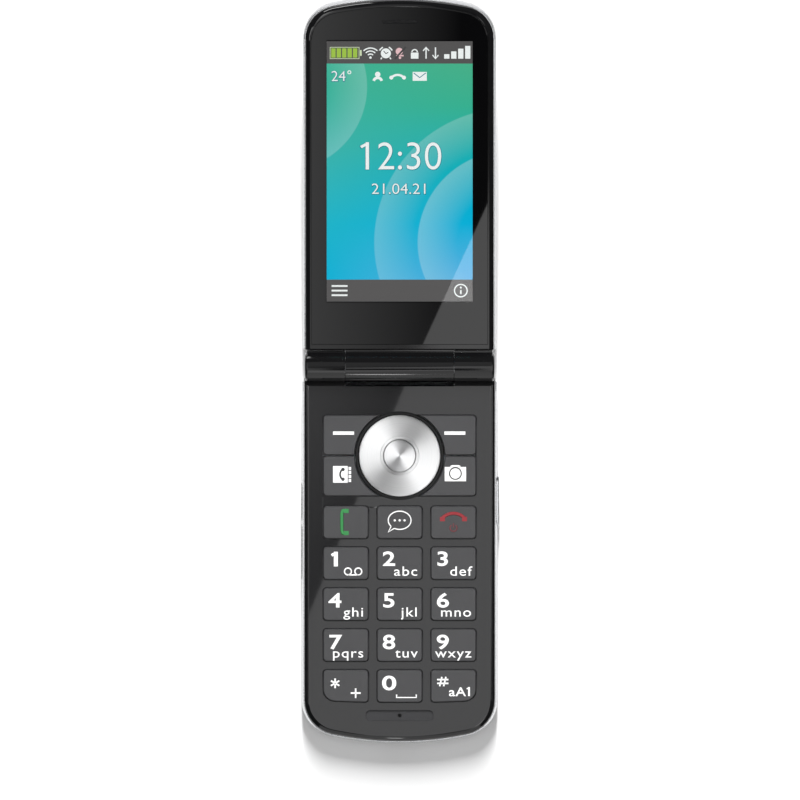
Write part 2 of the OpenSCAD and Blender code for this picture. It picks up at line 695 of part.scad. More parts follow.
module soft_key(sx, sy) {
    // one quarter of the block, hollowed along the collar
    split = 0.35;
    x1 = block_half;
    w = block_half - soft_in;
    l = block_l / 2 - split / 2;
    yc = block_mid + sy * (split / 2 + l / 2);
    difference() {
        union() {
            cap(function (d) moved(rounded(w, l, key_r, d), sx * (soft_in + w / 2), yc));
            intersection() {
                key_flange(moved(rounded(w + 2 * flange_w, l + 2 * flange_w, key_r), sx * (soft_in + w / 2), yc));
                block(-x1 - 2, x1 + 2, sy > 0 ? block_mid + split / 2 : mat_y0,
                      sy > 0 ? hinge_y : block_mid - split / 2, 0, base_h);
            }
        }
        upright(0, ring_y, collar_r + key_gap, flange_z - cut, base_h + cut);
        translate([0, ring_y, base_h + key_proud - key_round])
            cylinder(h = key_round + 0.05, r1 = collar_r + key_gap, r2 = collar_r + key_gap + key_round + 0.05);
    }
}

module key_soft_left() color("#4b4b4d") soft_key(-1, 1);
module key_soft_right() color("#4b4b4d") soft_key(1, 1);
module key_contacts() color("#4b4b4d") soft_key(-1, -1);
module key_camera() color("#4b4b4d") soft_key(1, -1);
module key_call() color("#4b4b4d") plain_key(0, 0);
module key_message() color("#4b4b4d") plain_key(1, 0);
module key_end() color("#4b4b4d") plain_key(2, 0);
module key_1() color("#4b4b4d") plain_key(0, 1);
module key_2() color("#4b4b4d") plain_key(1, 1);
module key_3() color("#4b4b4d") plain_key(2, 1);
module key_4() color("#4b4b4d") plain_key(0, 2);
module key_5() color("#4b4b4d") plain_key(1, 2);
module key_6() color("#4b4b4d") plain_key(2, 2);
module key_7() color("#4b4b4d") plain_key(0, 3);
module key_8() color("#4b4b4d") plain_key(1, 3);
module key_9() color("#4b4b4d") plain_key(2, 3);
module key_star() color("#4b4b4d") end_key(0);
module key_0() color("#4b4b4d") plain_key(1, 4);
module key_hash() color("#4b4b4d") end_key(2);

rocker_out = 0.6;                            // how far the carrier reaches under the plate
rocker_top = plate_z - (ring_r + rocker_out) * sin(ring_tilt) - run;
ring_top = base_h + 0.3;

module nav_rocker() color("#222224")
    difference() {
        upright(0, ring_y, ring_r + rocker_out, rocker_top - 0.45, rocker_top);
        upright(0, ring_y, ok_r + 1.45, rocker_top - cut, rocker_top + cut);
    }

module nav_ring() color("#c4c6c9")
    translate([0, ring_y, 0]) rotate_extrude($fn = 96) polygon(concat(
        [[ring_hole, plate_z], [ring_r, plate_z]],
        arc(ring_r - 0.35, ring_top - 0.5, 0.35, 0, 80, 4),
        [[(ring_r + ring_hole) / 2, ring_top]],
        arc(ring_hole + 0.3, ring_top - 0.45, 0.3, 90, 180, 3)));

module ok_button() color("#b7b9bc") {
    top = ring_top + 0.05;
    translate([0, ring_y, 0]) rotate_extrude() polygon(concat(
        [[0, flange_z], [ok_r + 1.05, flange_z], [ok_r + 1.05, flange_z + 0.4], [ok_r, flange_z + 0.4]],
        arc(ok_r - 0.35, top - 0.5, 0.35, 0, 75, 4),
        [[ok_r * 0.6, top - 0.12], [0, top - 0.2]]));
}

module side_key(y, l, proud) {
    // key in the right side wall, with the flange that keeps it in
    x0 = base_half - 2.3;
    r = side_key_h / 2 - 0.05;
    translate([x0 + 0.4, y, side_z]) rotate([90, 0, 90]) {
        linear_extrude(2.3 - 0.4 + proud - 0.3) polygon(rounded(l, side_key_h, r));
        translate([0, 0, 2.3 - 0.4 + proud - 0.3])
            loft([for (t = [0:30:90]) rounded(l, side_key_h, r, 0.3 * (1 - cos(t)))],
                 [for (t = [0:30:90]) 0.3 * sin(t)]);
    }
    block(x0, x0 + 0.5, y - l / 2, y + l / 2, side_z - side_key_h / 2 - flange_w, side_z + side_key_h / 2 + flange_w);
}

module side_key_left() color("#c9cacc") mirror([1, 0, 0]) side_key(left_key_y, left_key_l, left_proud);
module volume_rocker() color("#c9cacc") mirror([1, 0, 0]) side_key(volume_y, volume_l, left_proud);
module side_key_right() color("#c9cacc") side_key(right_key_y, right_key_l, right_proud);

// ---------- lid ----------

module lid_front_housing() color("#1d1d1f") in_lid() {
    ts = [0:30:90];
    rim = lid_top - lid_rim_z;
    difference() {
        union() {
            loft([for (t = ts) lid_plan(rim_in + rim_round * (1 - cos(t)), lid_foot + 0.5 * (1 - cos(t)))],
                 [for (t = ts) lid_rim_z + rim * sin(t)]);
            // middle knuckle and its neck
            axle(barrel_r, -knuckle_half, knuckle_half);
            along_x(-knuckle_half, knuckle_half) polygon([
                [hinge_y, hinge_z - barrel_r], [lid_y(lid_foot + 2.5), hinge_z - barrel_r],
                [lid_y(lid_foot + 2.5), lid_top - 0.3], [hinge_y, lid_top - 0.3]]);
            for (p = lid_screw_at) upright(p[0], lid_y(p[1]), boss_r, lid_seam_z + lid_floor_t + 0.02, lid_rim_z + 0.2);
        }
        // seat of the window and opening over the display
        prism(lid_plan(window_in - fit, lid_foot + 1.75), window_z, lid_top + cut);
        prism(moved(rounded(view_w + 1.4, view_l + 1.4, 0.6), 0, lid_y(view_at)), lid_rim_z - cut, window_z + cut);
        prism(moved(rounded(ear_w, ear_l + 0.4, ear_l / 2), 0, lid_y(ear_at)), lid_rim_z - cut, window_z + cut);
        for (p = lid_screw_at) upright(p[0], lid_y(p[1]), screw_r + run, lid_seam_z, lid_rim_z + 0.4);
        // inside of the knuckle: plug seat, room for the cable, bearing of the hollow pin
        intersection() {
            axle(plug_r + run, -knuckle_half - cut, -knuckle_half + 3.6);
            block(-base_half, 0, hinge_y - plug_flat - run, hinge_y + plug_flat + run,
                  hinge_z - barrel_r, hinge_z + barrel_r);
        }
        axle(2.9, -8, 8.5);
        axle(bush_r + run, 8, knuckle_half + cut);
        block(-5, 5, hinge_y, lid_y(lid_foot + 4), hinge_z - 2.4, hinge_z - 1.6);
    }
}

module lid_rear_housing() color("#b9babd") in_lid() {
    zs = concat([for (z = low_levels(lid_z, lid_band_z)) if (z > lid_seam_z + 0.1) z],
                [(lid_band_z + lid_rim_z) / 2, lid_rim_z - 0.05]);
    all = concat([lid_seam_z + 0.05], zs);
    difference() {
        loft([for (z = all) lid_plan(flank(z, lid_z, lid_band_z, lid_tuck, lid_rim_z, 0.45), lid_foot)], all);
        // tray for the display, and the deeper tray for the board
        prism(lid_plan(wall, lid_foot + 2.6), panel_z - 0.05, lid_top);
        prism(lid_plan(ledge_in, lid_foot + 4), lid_seam_z + lid_floor_t, lid_top);
        for (p = lid_screw_at) {
            upright(p[0], lid_y(p[1]), boss_r + fit, lid_seam_z + lid_floor_t, lid_top);
            upright(p[0], lid_y(p[1]), screw_r + 0.2, lid_z, lid_top);
        }
        block(-camera_s / 2 - 0.2, camera_s / 2 + 0.2, lid_y(camera_at - camera_s / 2 - 0.2),
              lid_y(camera_at + camera_s / 2 + 0.2), lid_z, lid_top);
        block(-5.8, 5.8, lid_y(ear_at - 2.3), lid_y(ear_at + 2.3), panel_z - 0.6, lid_top);
        // neck and cable
        block(-knuckle_half - 0.2, knuckle_half + 0.2, lid_y(0), lid_y(lid_foot + 2.7), hinge_z - barrel_r - fit, lid_top);
        block(-5, 5, lid_y(0), lid_y(lid_foot + 5), hinge_z - 2.4, lid_top);
    }
}

module lid_back_cover() color("#1d1d1f") in_lid() {
    zs = concat([for (z = low_levels(lid_z, lid_band_z)) if (z < lid_seam_z - 0.1) z], [lid_seam_z]);
    difference() {
        loft([for (z = zs) lid_plan(flank(z, lid_z, lid_band_z, lid_tuck, lid_rim_z, 0.45), lid_foot)], zs);
        prism(lid_plan(3, lid_foot + 1.5), lid_z + 5 / 12 * (lid_seam_z - lid_z), lid_seam_z + cut);
        // camera
        upright(0, lid_y(camera_at), 4.6, lid_z - cut, lid_z + 0.6);
        upright(0, lid_y(camera_at), 3.4, lid_z - cut, lid_z + 2 * cut);
    }
}

module display_window() color("#0c0c0e") in_lid()
    difference() {
        prism(lid_plan(window_in, lid_foot + 1.85), window_z + 0.05, lid_top);
        prism(moved(rounded(ear_w, ear_l, ear_l / 2 - 0.01), 0, lid_y(ear_at)), window_z - cut, lid_top + cut);
    }

module lcd_panel() color("#2f9fc0") in_lid() {
    prism(moved(rounded(view_w + 3.6, view_l + 6, 0.5), 0, lid_y(view_at - 0.6)), panel_z, panel_z + panel_t - 0.3);
    prism(moved(rounded(view_w + 1, view_l + 1, 0.3), 0, lid_y(view_at)), panel_z + panel_t - 0.4, panel_z + panel_t);
}

module lid_board() color("#1f5d3a") in_lid()
    difference() {
        prism(lid_plan(ledge_in + 0.3, lid_foot + 4.4), lid_board_z, lid_board_z + lid_board_t);
        for (p = lid_screw_at) upright(p[0], lid_y(p[1]), boss_r + 0.2, lid_board_z - cut, lid_board_z + 2 * cut);
        block(-camera_s / 2 - 0.3, camera_s / 2 + 0.3, lid_y(camera_at - camera_s / 2 - 0.3),
              lid_y(camera_at + camera_s / 2 + 0.3), lid_board_z - cut, lid_board_z + 2 * cut);
    }

module earpiece() color("#2a2a2a") in_lid()
    prism(moved(rounded(11, 4, 1), 0, lid_y(ear_at)), panel_z - 0.5, lid_rim_z - 0.05);

module earpiece_mesh() color("#3a3b3d") in_lid()
    prism(moved(rounded(ear_w - 0.1, ear_l - 0.1, ear_l / 2 - 0.06), 0, lid_y(ear_at)), lid_rim_z + 0.05, lid_top - 0.15);

module camera_module() color("#26282c") in_lid() {
    block(-camera_s / 2, camera_s / 2, lid_y(camera_at - camera_s / 2), lid_y(camera_at + camera_s / 2),
          lid_z + 1.9, panel_z - 0.1);
    upright(0, lid_y(camera_at), 3.1, lid_z + 0.75, lid_z + 2);
}

module camera_window() color("#15171b") in_lid()
    upright(0, lid_y(camera_at), 4.55, lid_z + 0.05, lid_z + 0.58);

module lid_magnet() color("#8a8d91") in_lid()
    block(-lid_half + wall + 0.2, -lid_half + wall + 1.6, lid_y(magnet_at - 4), lid_y(magnet_at + 4), panel_z, lid_rim_z - 0.05);

module lid_screws() color("#7c7f83") in_lid()
    for (p = lid_screw_at) {
        upright(p[0], lid_y(p[1]), screw_r, lid_seam_z - 0.2, lid_rim_z);
        difference() {
            upright(p[0], lid_y(p[1]), 1.3, lid_seam_z - 0.8, lid_seam_z + 0.04);
            translate([p[0], lid_y(p[1]), lid_seam_z - 0.9]) cylinder(h = 0.5, r = 0.6, $fn = 6);
        }
    }

module display_flex() color("#c98a2d") in_lid() {
    // cable rolled up in the middle knuckle, with its tail in the neck
    difference() {
        axle(2.4, -4.8, 4.8);
        axle(2.25, -6, 6);
        block(-6, 6, hinge_y - cut, lid_y(4), hinge_z - 1.4, hinge_z + 0.2);
    }
    block(-4.8, 4.8, lid_y(1.2), lid_y(lid_foot + 3.8), hinge_z - 2.05, hinge_z - 1.9);
}

base_front_housing();
base_rear_housing();
battery_cover();
battery();
battery_contacts();
main_board();
shield_cans();
sim_socket();
dome_sheet();
keypad_mat();
loudspeaker();
microphone();
vibration_motor();
usb_port();
antenna();
side_switches();
base_screws();
hinge_can();
hinge_spring();
hinge_cam();
hinge_bush();
key_soft_left();
key_soft_right();
key_contacts();
key_camera();
key_call();
key_message();
key_end();
key_1();
key_2();
key_3();
key_4();
key_5();
key_6();
key_7();
key_8();
key_9();
key_star();
key_0();
key_hash();
nav_rocker();
nav_ring();
ok_button();
side_key_left();
volume_rocker();
side_key_right();
lid_front_housing();
lid_rear_housing();
lid_back_cover();
display_window();
lcd_panel();
lid_board();
earpiece();
earpiece_mesh();
camera_module();
camera_window();
lid_magnet();
lid_screws();
hinge_follower();
display_flex();
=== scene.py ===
"""Flip phone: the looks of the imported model, in its own frame.

Blender works in metres here. Sizes are written in millimetres and turned into metres by MM.
"""

import json
import math

import bpy
from mathutils import Matrix, Vector

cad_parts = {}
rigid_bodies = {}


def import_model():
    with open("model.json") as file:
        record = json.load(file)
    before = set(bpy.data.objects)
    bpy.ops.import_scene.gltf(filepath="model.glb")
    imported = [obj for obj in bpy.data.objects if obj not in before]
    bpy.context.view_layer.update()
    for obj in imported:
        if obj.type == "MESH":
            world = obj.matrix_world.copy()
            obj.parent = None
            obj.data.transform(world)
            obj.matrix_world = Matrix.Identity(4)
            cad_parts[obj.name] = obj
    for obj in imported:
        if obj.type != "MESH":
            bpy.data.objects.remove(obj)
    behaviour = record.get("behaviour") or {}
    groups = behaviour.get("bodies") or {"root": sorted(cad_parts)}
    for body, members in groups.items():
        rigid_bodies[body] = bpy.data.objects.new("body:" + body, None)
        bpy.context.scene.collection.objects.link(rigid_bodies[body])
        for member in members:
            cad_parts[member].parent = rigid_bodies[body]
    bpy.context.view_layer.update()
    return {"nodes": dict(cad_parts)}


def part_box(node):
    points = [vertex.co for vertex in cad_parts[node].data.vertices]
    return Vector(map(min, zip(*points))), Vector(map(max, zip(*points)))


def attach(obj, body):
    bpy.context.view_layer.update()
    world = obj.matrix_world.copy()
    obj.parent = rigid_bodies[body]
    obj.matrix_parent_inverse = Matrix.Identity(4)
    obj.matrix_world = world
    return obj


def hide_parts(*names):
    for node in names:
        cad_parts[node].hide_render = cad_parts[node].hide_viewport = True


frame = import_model()
cad = frame["nodes"]

MM = 0.001
UM = 0.000001


def middle(name):
    """Middle of a CAD node's box, in millimetres."""
    low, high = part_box(name)
    return (low + high) / 2 / MM


# ---------------------------------------------------------------- sizes, in millimetres

HINGE_Y = 50.0
HINGE_Z = 11.0
TILT = math.radians(12)  # how far the open lid stands above the line of the base
FACE_Z = 10.6  # key face of the base, and face of the lid while it lies flat
KEY_TOP = 10.8
INK = 0.02  # thickness of printed ink
RING_Y = middle("nav_ring").y
RING_R = 11.25
RING_TOP = 10.9
RING_HOLE = 5.2
OK_R = 4.45
SCREEN_S = 55.1  # middle of the lit screen, from the hinge axis along the lid
SCREEN_Z = 8.85  # lit face of the display while the lid lies flat
HALF_W = 40.3 / 2  # half the width of the lit screen
HALF_L = 73.6 / 2  # half its length
SEEN_S = SCREEN_S - 0.32  # middle of what the camera sees of it, past the window's edge
BAR_L = 6.3  # length of each of the two grey bars across the screen
VIEW_W = 220.96  # width of the picture on the key face

hinge = Vector((0, HINGE_Y, HINGE_Z)) * MM
raised = Matrix.Translation(hinge) @ Matrix.Rotation(TILT, 4, "X") @ Matrix.Translation(-hinge)
lay_flat = raised.inverted()


def on_lid(x, s, z):
    """Place of a point that has this x, distance from the hinge and height while the lid lies flat."""
    return raised @ (Vector((x, HINGE_Y + s, z)) * MM)


def flat_place(p):
    """Where a point of the open lid is while the lid lies flat, both in millimetres."""
    return lay_flat @ (p * MM) / MM


scene = bpy.context.scene
scene.view_settings.view_transform = "Standard"

# ---------------------------------------------------------------- camera, straight down on the key face

bpy.ops.object.camera_add(location=(0.1 * MM, 40.89 * MM, 1.2), rotation=(0, 0, 0))
camera = bpy.context.object
camera.data.type = "ORTHO"
camera.data.ortho_scale = VIEW_W * MM
scene.camera = camera


# ---------------------------------------------------------------- colours and nodes


def linear(code):
    """Linear colour of an sRGB hex code."""
    parts = [int(code[i : i + 2], 16) / 255 for i in (1, 3, 5)]
    return [p / 12.92 if p <= 0.04045 else ((p + 0.055) / 1.055) ** 2.4 for p in parts] + [1.0]


def dimmed(code, share):
    """The hex code with each of its values brought down to this share."""
    return "#" + "".join(f"{round(int(code[i : i + 2], 16) * share):02x}" for i in (1, 3, 5))


def node(tree, kind, inputs=None, **settings):
    """Adds a node with its settings.

    Each input, by its name or place, is a number, a hex code, an output to link,
    or a node whose first output in use is linked.
    """
    made = tree.nodes.new("ShaderNode" + kind)
    for name, value in settings.items():
        setattr(made, name, value)
    for name, value in (inputs or {}).items():
        if isinstance(value, bpy.types.Node):
            value = next(output for output in value.outputs if output.enabled)
        if isinstance(value, bpy.types.NodeSocket):
            tree.links.new(value, made.inputs[name])
        else:
            made.inputs[name].default_value = linear(value) if isinstance(value, str) else value
    return made


def material(name):
    """New material with an empty tree."""
    made = bpy.data.materials.new(name)
    made.use_nodes = True
    made.node_tree.nodes.clear()
    return made, made.node_tree


def place_on(tree, turn=(0, 0, 0), shift=(0, 0, 0)):
    """Object coordinates, turned and then shifted (in millimetres)."""
    coordinates = node(tree, "TexCoord").outputs["Object"]
    moves = {"Vector": coordinates, "Rotation": turn, "Location": [s * MM for s in shift]}
    return node(tree, "Mapping", moves)


def wave_scale(pitch_mm):
    """Scale at which a wave texture repeats at this pitch: one of scale s repeats every 2 pi / (20 s)."""
    return math.tau / 20 / (pitch_mm * MM)


# ---------------------------------------------------------------- plastics and paint


def moulded(name, colour, shade, roughness, grain_mm, grain_um, **gloss):
    """Moulded plastic: faint clouds, 11 mm wide, where the melt flowed, over the grain of the mould."""
    made, tree = material(name)
    place = place_on(tree)
    cloud = node(tree, "TexNoise", {"Vector": place, "Scale": 1 / (11 * MM)})
    grain = node(tree, "TexNoise", {"Vector": place, "Scale": 1 / (grain_mm * MM)})
    spread = {"Value": grain, "To Min": roughness * 0.85, "To Max": roughness * 1.15}
    inputs = {
        "Base Color": node(tree, "Mix", {0: cloud, 6: colour, 7: shade}, data_type="RGBA"),
        "Roughness": node(tree, "MapRange", spread),
        "Normal": node(tree, "Bump", {"Height": grain, "Distance": grain_um * UM}),
        "IOR": 1.53,
    }
    node(tree, "OutputMaterial", {"Surface": node(tree, "BsdfPrincipled", inputs | gloss)})
    return made


# ABS from a polished mould: near black, and it mirrors what hangs above it
gloss_black = moulded("polished_black_abs", "#0c0c0d", "#101011", 0.06, 1.6, 0.12)
# PC-ABS under clear hard lacquer: dark grey, with a sharp reflection on top
lacquer = {"Coat Weight": 1.0, "Coat Roughness": 0.02, "Specular IOR Level": 0.1}
lacquered_grey = moulded("lacquered_grey_pc_abs", "#1a1a1b", "#1d1d1e", 0.5, 0.6, 0.1, **lacquer)
# keycaps from a finely blasted mould: an even satin grey that hides fingerprints
satin_key = moulded("satin_keycap_pc", "#333334", "#363638", 0.42, 0.2, 1.0)
# the same grey without lacquer: satin, so that it holds the shadow of the wall above it
dull = {"Specular IOR Level": 0.2}
satin_grey = moulded("satin_grey_pc_abs", "#363637", "#39393b", 0.5, 0.4, 1.0, **dull)
# ABS from a blasted mould: a soft black, with only a broad and weak reflection
weak = {"Specular IOR Level": 0.25}
soft_black = moulded("satin_black_abs", "#070708", "#0a0a0a", 0.45, 0.6, 0.5, **weak)
# spark-eroded mould: dry, finely pitted black that gives grip
eroded_black = moulded("spark_eroded_abs", "#151516", "#1a1a1b", 0.6, 0.45, 16)
# glass-filled nylon: matt near-black, a little rough where the fibres lie
inner_black = moulded("glass_filled_nylon", "#121213", "#1a1a1b", 0.55, 0.4, 6)
# injected silicone: milky grey, soft sheen
milky = {"Subsurface Weight": 0.15, "Subsurface Scale": 0.8 * MM}
silicone = moulded("moulded_silicone", "#7b7e80", "#868a8c", 0.5, 0.9, 3, **milky)
# aluminium-polymer pouch in a satin wrap: dark blue-grey, slightly uneven
cell_wrap = moulded("satin_cell_wrap", "#24282e", "#2b3037", 0.38, 2.2, 3)


def ink(name, colour, shade):
    """Pad-printed ink: opaque, with the faint grain of the keycap under it."""
    return moulded(name, colour, shade, 0.5, 0.25, 0.5)


white_ink = ink("white_pad_print", "#f8f8f6", "#ffffff")
grey_ink = ink("grey_pad_print", "#2c2c2e", "#323234")
green_ink = ink("green_pad_print", "#2b7a3c", "#32844a")
red_ink = ink("red_pad_print", "#85262c", "#8d2a30")
dim_red_ink = ink("dim_red_pad_print", "#5f3236", "#663639")


def flake_lacquer():
    """Silver lacquer with aluminium flake on ABS: metallic, with a fine sparkle under a clear coat."""
    made, tree = material("silver_flake_lacquer")
    place = place_on(tree)
    # real flake is 0.02 mm; it is drawn five times coarser, or it would vanish in the render
    flake = node(tree, "TexVoronoi", {"Vector": place, "Scale": 1 / (0.1 * MM)}).outputs["Color"]
    tilt = node(tree, "SeparateColor", {"Color": flake})
    ripple = node(tree, "TexNoise", {"Vector": place, "Scale": 1 / (1.1 * MM)})
    inputs = {
        "Base Color": node(tree, "Mix", {0: tilt, 6: "#b0b1b3", 7: "#cecfd1"}, data_type="RGBA"),
        "Metallic": 1.0,
        "Roughness": node(tree, "MapRange", {"Value": tilt, "To Min": 0.22, "To Max": 0.34}),
        "Normal": node(tree, "Bump", {"Height": ripple, "Distance": 0.4 * UM}),
        "Coat Weight": 0.5,
        "Coat Roughness": 0.06,
    }
    node(tree, "OutputMaterial", {"Surface": node(tree, "BsdfPrincipled", inputs)})
    return made


silver_lacquer = flake_lacquer()

# ---------------------------------------------------------------- metals


def spun(name, colour, light, roughness, groove_mm):
    """Turned aluminium: the tool's rings spread each light into lobes that run out from the middle."""
    made, tree = material(name)
    from_middle = {0: place_on(tree, shift=(0, -RING_Y, 0)), 1: (1, 1, 0)}
    flat = node(tree, "VectorMath", from_middle, operation="MULTIPLY")
    radius = node(tree, "VectorMath", {0: flat}, operation="LENGTH")
    # the tool's feed is 0.05 mm; the rings are drawn wider, so that they show
    rings = node(tree, "TexNoise", {"W": radius, "Scale": 1 / (groove_mm * MM)}, noise_dimensions="1D")
    spread = {"Value": rings, "From Min": 0.3, "From Max": 0.7}
    spread |= {"To Min": roughness * 0.9, "To Max": roughness * 1.1}
    inputs = {
        "Base Color": node(tree, "Mix", {0: rings, 6: colour, 7: light}, data_type="RGBA"),
        "Metallic": 1.0,
        "Roughness": node(tree, "MapRange", spread),
        "Anisotropic": 0.9,
        "Anisotropic Rotation": 0.25,
        "Tangent": node(tree, "Tangent", direction_type="RADIAL", axis="Z"),
        "Normal": node(tree, "Bump", {"Height": rings, "Distance": 1.2 * UM}),
    }
    node(tree, "OutputMaterial", {"Surface": node(tree, "BsdfPrincipled", inputs)})
    return made


ring_aluminium = spun("turned_aluminium", "#cfd0d1", "#e6e6e6", 0.42, 0.16)
button_aluminium = spun("spun_aluminium", "#bcbdbe", "#dededf", 0.36, 0.11)


def plated(name, colour, stain, roughness, mark_mm, mark_um):
    """Plated or bare metal with the marks of its rolling, and a faint stain."""
    made, tree = material(name)
    place = place_on(tree)
    cloud = node(tree, "TexNoise", {"Vector": place, "Scale": 1 / (2.5 * MM)})
    marks = node(tree, "TexNoise", {"Vector": place, "Scale": 1 / (mark_mm * MM), "Detail": 4.0})
    spread = {"Value": marks, "To Min": roughness * 0.75, "To Max": roughness * 1.25}
    inputs = {
        "Base Color": node(tree, "Mix", {0: cloud, 6: colour, 7: stain}, data_type="RGBA"),
        "Metallic": 1.0,
        "Roughness": node(tree, "MapRange", spread),
        "Normal": node(tree, "Bump", {"Height": marks, "Distance": mark_um * UM}),
    }
    node(tree, "OutputMaterial", {"Surface": node(tree, "BsdfPrincipled", inputs)})
    return made


# tin-plated spring steel of the shields and sockets: bright, slightly cloudy
tinned_steel = plated("tinned_steel", "#c6c8ca", "#b2b4b6", 0.3, 0.3, 1.5)
# ground steel of the hinge module, greased: darker, with a wet shine
ground_steel = plated("ground_steel", "#9c9ea0", "#87898b", 0.25, 0.15, 1.0)
# zinc-plated screws: grey with a blue cast
zinc_steel = plated("zinc_plated_steel", "#a5aab0", "#8f9499", 0.35, 0.2, 1.0)
# flash gold on phosphor bronze: warm yellow, fairly sharp
gold_plate = plated("gold_plated_bronze", "#d8ac55", "#c6963f", 0.28, 0.2, 0.8)
# nickel on a sintered magnet: a warm grey mirror, a little worn
nickel_plate = plated("nickel_plated_magnet", "#b5b1a8", "#a6a299", 0.22, 0.25, 0.6)


def mesh_cloth():
    """Woven steel mesh, blackened: wires 0.08 mm thick, 0.2 mm apart."""
    made, tree = material("blackened_steel_mesh")
    weave = {"Vector": place_on(tree, (-TILT, 0, 0)), "Scale": wave_scale(0.2)}
    warp, weft = (node(tree, "TexWave", weave, bands_direction=way).outputs["Fac"] for way in ("X", "Y"))
    wires = node(tree, "Math", {0: warp, 1: weft}, operation="MAXIMUM")
    inputs = {
        "Base Color": node(tree, "Mix", {0: wires, 6: "#020202", 7: "#1b1b1c"}, data_type="RGBA"),
        "Metallic": 0.6,
        "Roughness": 0.5,
        "Normal": node(tree, "Bump", {"Height": wires, "Distance": 30 * UM}),
    }
    node(tree, "OutputMaterial", {"Surface": node(tree, "BsdfPrincipled", inputs)})
    return made


fine_mesh = mesh_cloth()

# ---------------------------------------------------------------- boards and films


def circuit_board():
    """Green solder mask over copper: tracks show as lighter lines under the mask, and bare pads are gold."""
    made, tree = material("solder_masked_board")
    place = place_on(tree)
    paths = {"Vector": place, "Scale": 1 / (2.2 * MM)}
    tracks = node(tree, "TexVoronoi", paths, feature="DISTANCE_TO_EDGE")
    track = node(tree, "Math", {0: tracks, 1: 0.05}, operation="LESS_THAN")
    pads = node(tree, "TexVoronoi", {"Vector": place, "Scale": 1 / (3.1 * MM)})
    pad = node(tree, "Math", {0: pads, 1: 0.16}, operation="LESS_THAN")
    masked = node(tree, "Mix", {0: track, 6: "#14512f", 7: "#2b7a4c"}, data_type="RGBA")
    inputs = {
        "Base Color": node(tree, "Mix", {0: pad, 6: masked, 7: "#d2a957"}, data_type="RGBA"),
        "Metallic": pad,
        "Roughness": 0.32,
        "Normal": node(tree, "Bump", {"Height": track, "Distance": 20 * UM}),
    }
    node(tree, "OutputMaterial", {"Surface": node(tree, "BsdfPrincipled", inputs)})
    return made


def ribbed_film(name, colour, rib, pitch_mm, way):
    """Polyester or polyimide film with copper lines printed on it: glossy, with fine low ribs."""
    made, tree = material(name)
    ribs = {"Vector": place_on(tree), "Scale": wave_scale(pitch_mm)}
    lines = node(tree, "TexWave", ribs, bands_direction=way).outputs["Fac"]
    inputs = {
        "Base Color": node(tree, "Mix", {0: lines, 6: colour, 7: rib}, data_type="RGBA"),
        "Roughness": 0.25,
        "Normal": node(tree, "Bump", {"Height": lines, "Distance": 8 * UM}),
        "Coat Weight": 0.5,
    }
    node(tree, "OutputMaterial", {"Surface": node(tree, "BsdfPrincipled", inputs)})
    return made


board_green = circuit_board()
dome_film = ribbed_film("clear_polyester_film", "#b9bdbb", "#d9dcd9", 1.4, "X")
flex_film = ribbed_film("polyimide_flex", "#9a5e17", "#c98a3a", 0.5, "X")

# ---------------------------------------------------------------- window, camera glass and screen


def clear_sheet():
    """Hard-coated acrylic: clear, with a sharp reflection and the faintest smear."""
    made, tree = material("clear_acrylic")
    smear = node(tree, "TexNoise", {"Vector": place_on(tree), "Scale": 1 / (18 * MM)})
    inputs = {
        "Base Color": "#ffffff",
        "Roughness": node(tree, "MapRange", {"Value": smear, "To Max": 0.01}),
        "IOR": 1.49,
        "Transmission Weight": 1.0,
    }
    node(tree, "OutputMaterial", {"Surface": node(tree, "BsdfPrincipled", inputs)})
    return made


window_clear = clear_sheet()
# the same sheet with black print behind it: deep black under gloss
window_print = moulded("black_printed_acrylic", "#050506", "#070708", 0.012, 18, 0.02)
# glass with a coating against reflections, which leaves a violet one
coating = {"Coat Weight": 1.0, "Coat Tint": "#b9a8ff"}
coated_glass = moulded("coated_camera_glass", "#06070c", "#0d0b18", 0.03, 3, 0.05, **coating)


def lit(name, colour):
    """Lit part of the screen: each row of pixels, 0.18 mm high, has a darker line under it."""
    made, tree = material(name)
    bands = {"Vector": place_on(tree), "Scale": wave_scale(0.18)}
    rows = node(tree, "TexWave", bands, bands_direction="Y").outputs["Fac"]
    seen = node(tree, "Mix", {0: rows, 6: dimmed(colour, 0.97), 7: colour}, data_type="RGBA")
    node(tree, "OutputMaterial", {"Surface": node(tree, "Emission", {"Color": seen})})
    return made


lit_white = lit("lit_white", "#f6fcfb")
lit_shadow = lit("lit_teal_shadow", "#2b8793")
lit_green = lit("lit_green", "#a3c850")
lit_pale_green = lit("lit_pale_green", "#dcebc4")
lit_pink = lit("lit_pink", "#ecc4c8")
lit_dark = lit("lit_dark_grey", "#4b4b4c")
lit_top_bar = lit("lit_status_bar", "#5a5959")
lit_foot_bar = lit("lit_label_bar", "#5f5e5e")

# colours up the left and right edges of the wallpaper, each at its share of the height
LEFT_EDGE = ((0.0, "#0db5e0"), (0.3, "#22b9cf"), (0.6, "#3fb8ae"), (0.85, "#3fb79c"), (1.0, "#42b898"))
RIGHT_EDGE = (
    (0.0, "#69b4ea"),
    (0.14, "#4fb4e6"),
    (0.3, "#0bb4de"),
    (0.5, "#06b3c2"),
    (0.75, "#3ab594"),
    (1.0, "#52b488"),
)
# middle, reach and brightness of each round ripple
RIPPLES = (((31, -20, 0), 26, 0.26), ((31, -20, 0), 38, 0.2), ((-33, 24, 0), 24, 0.2))


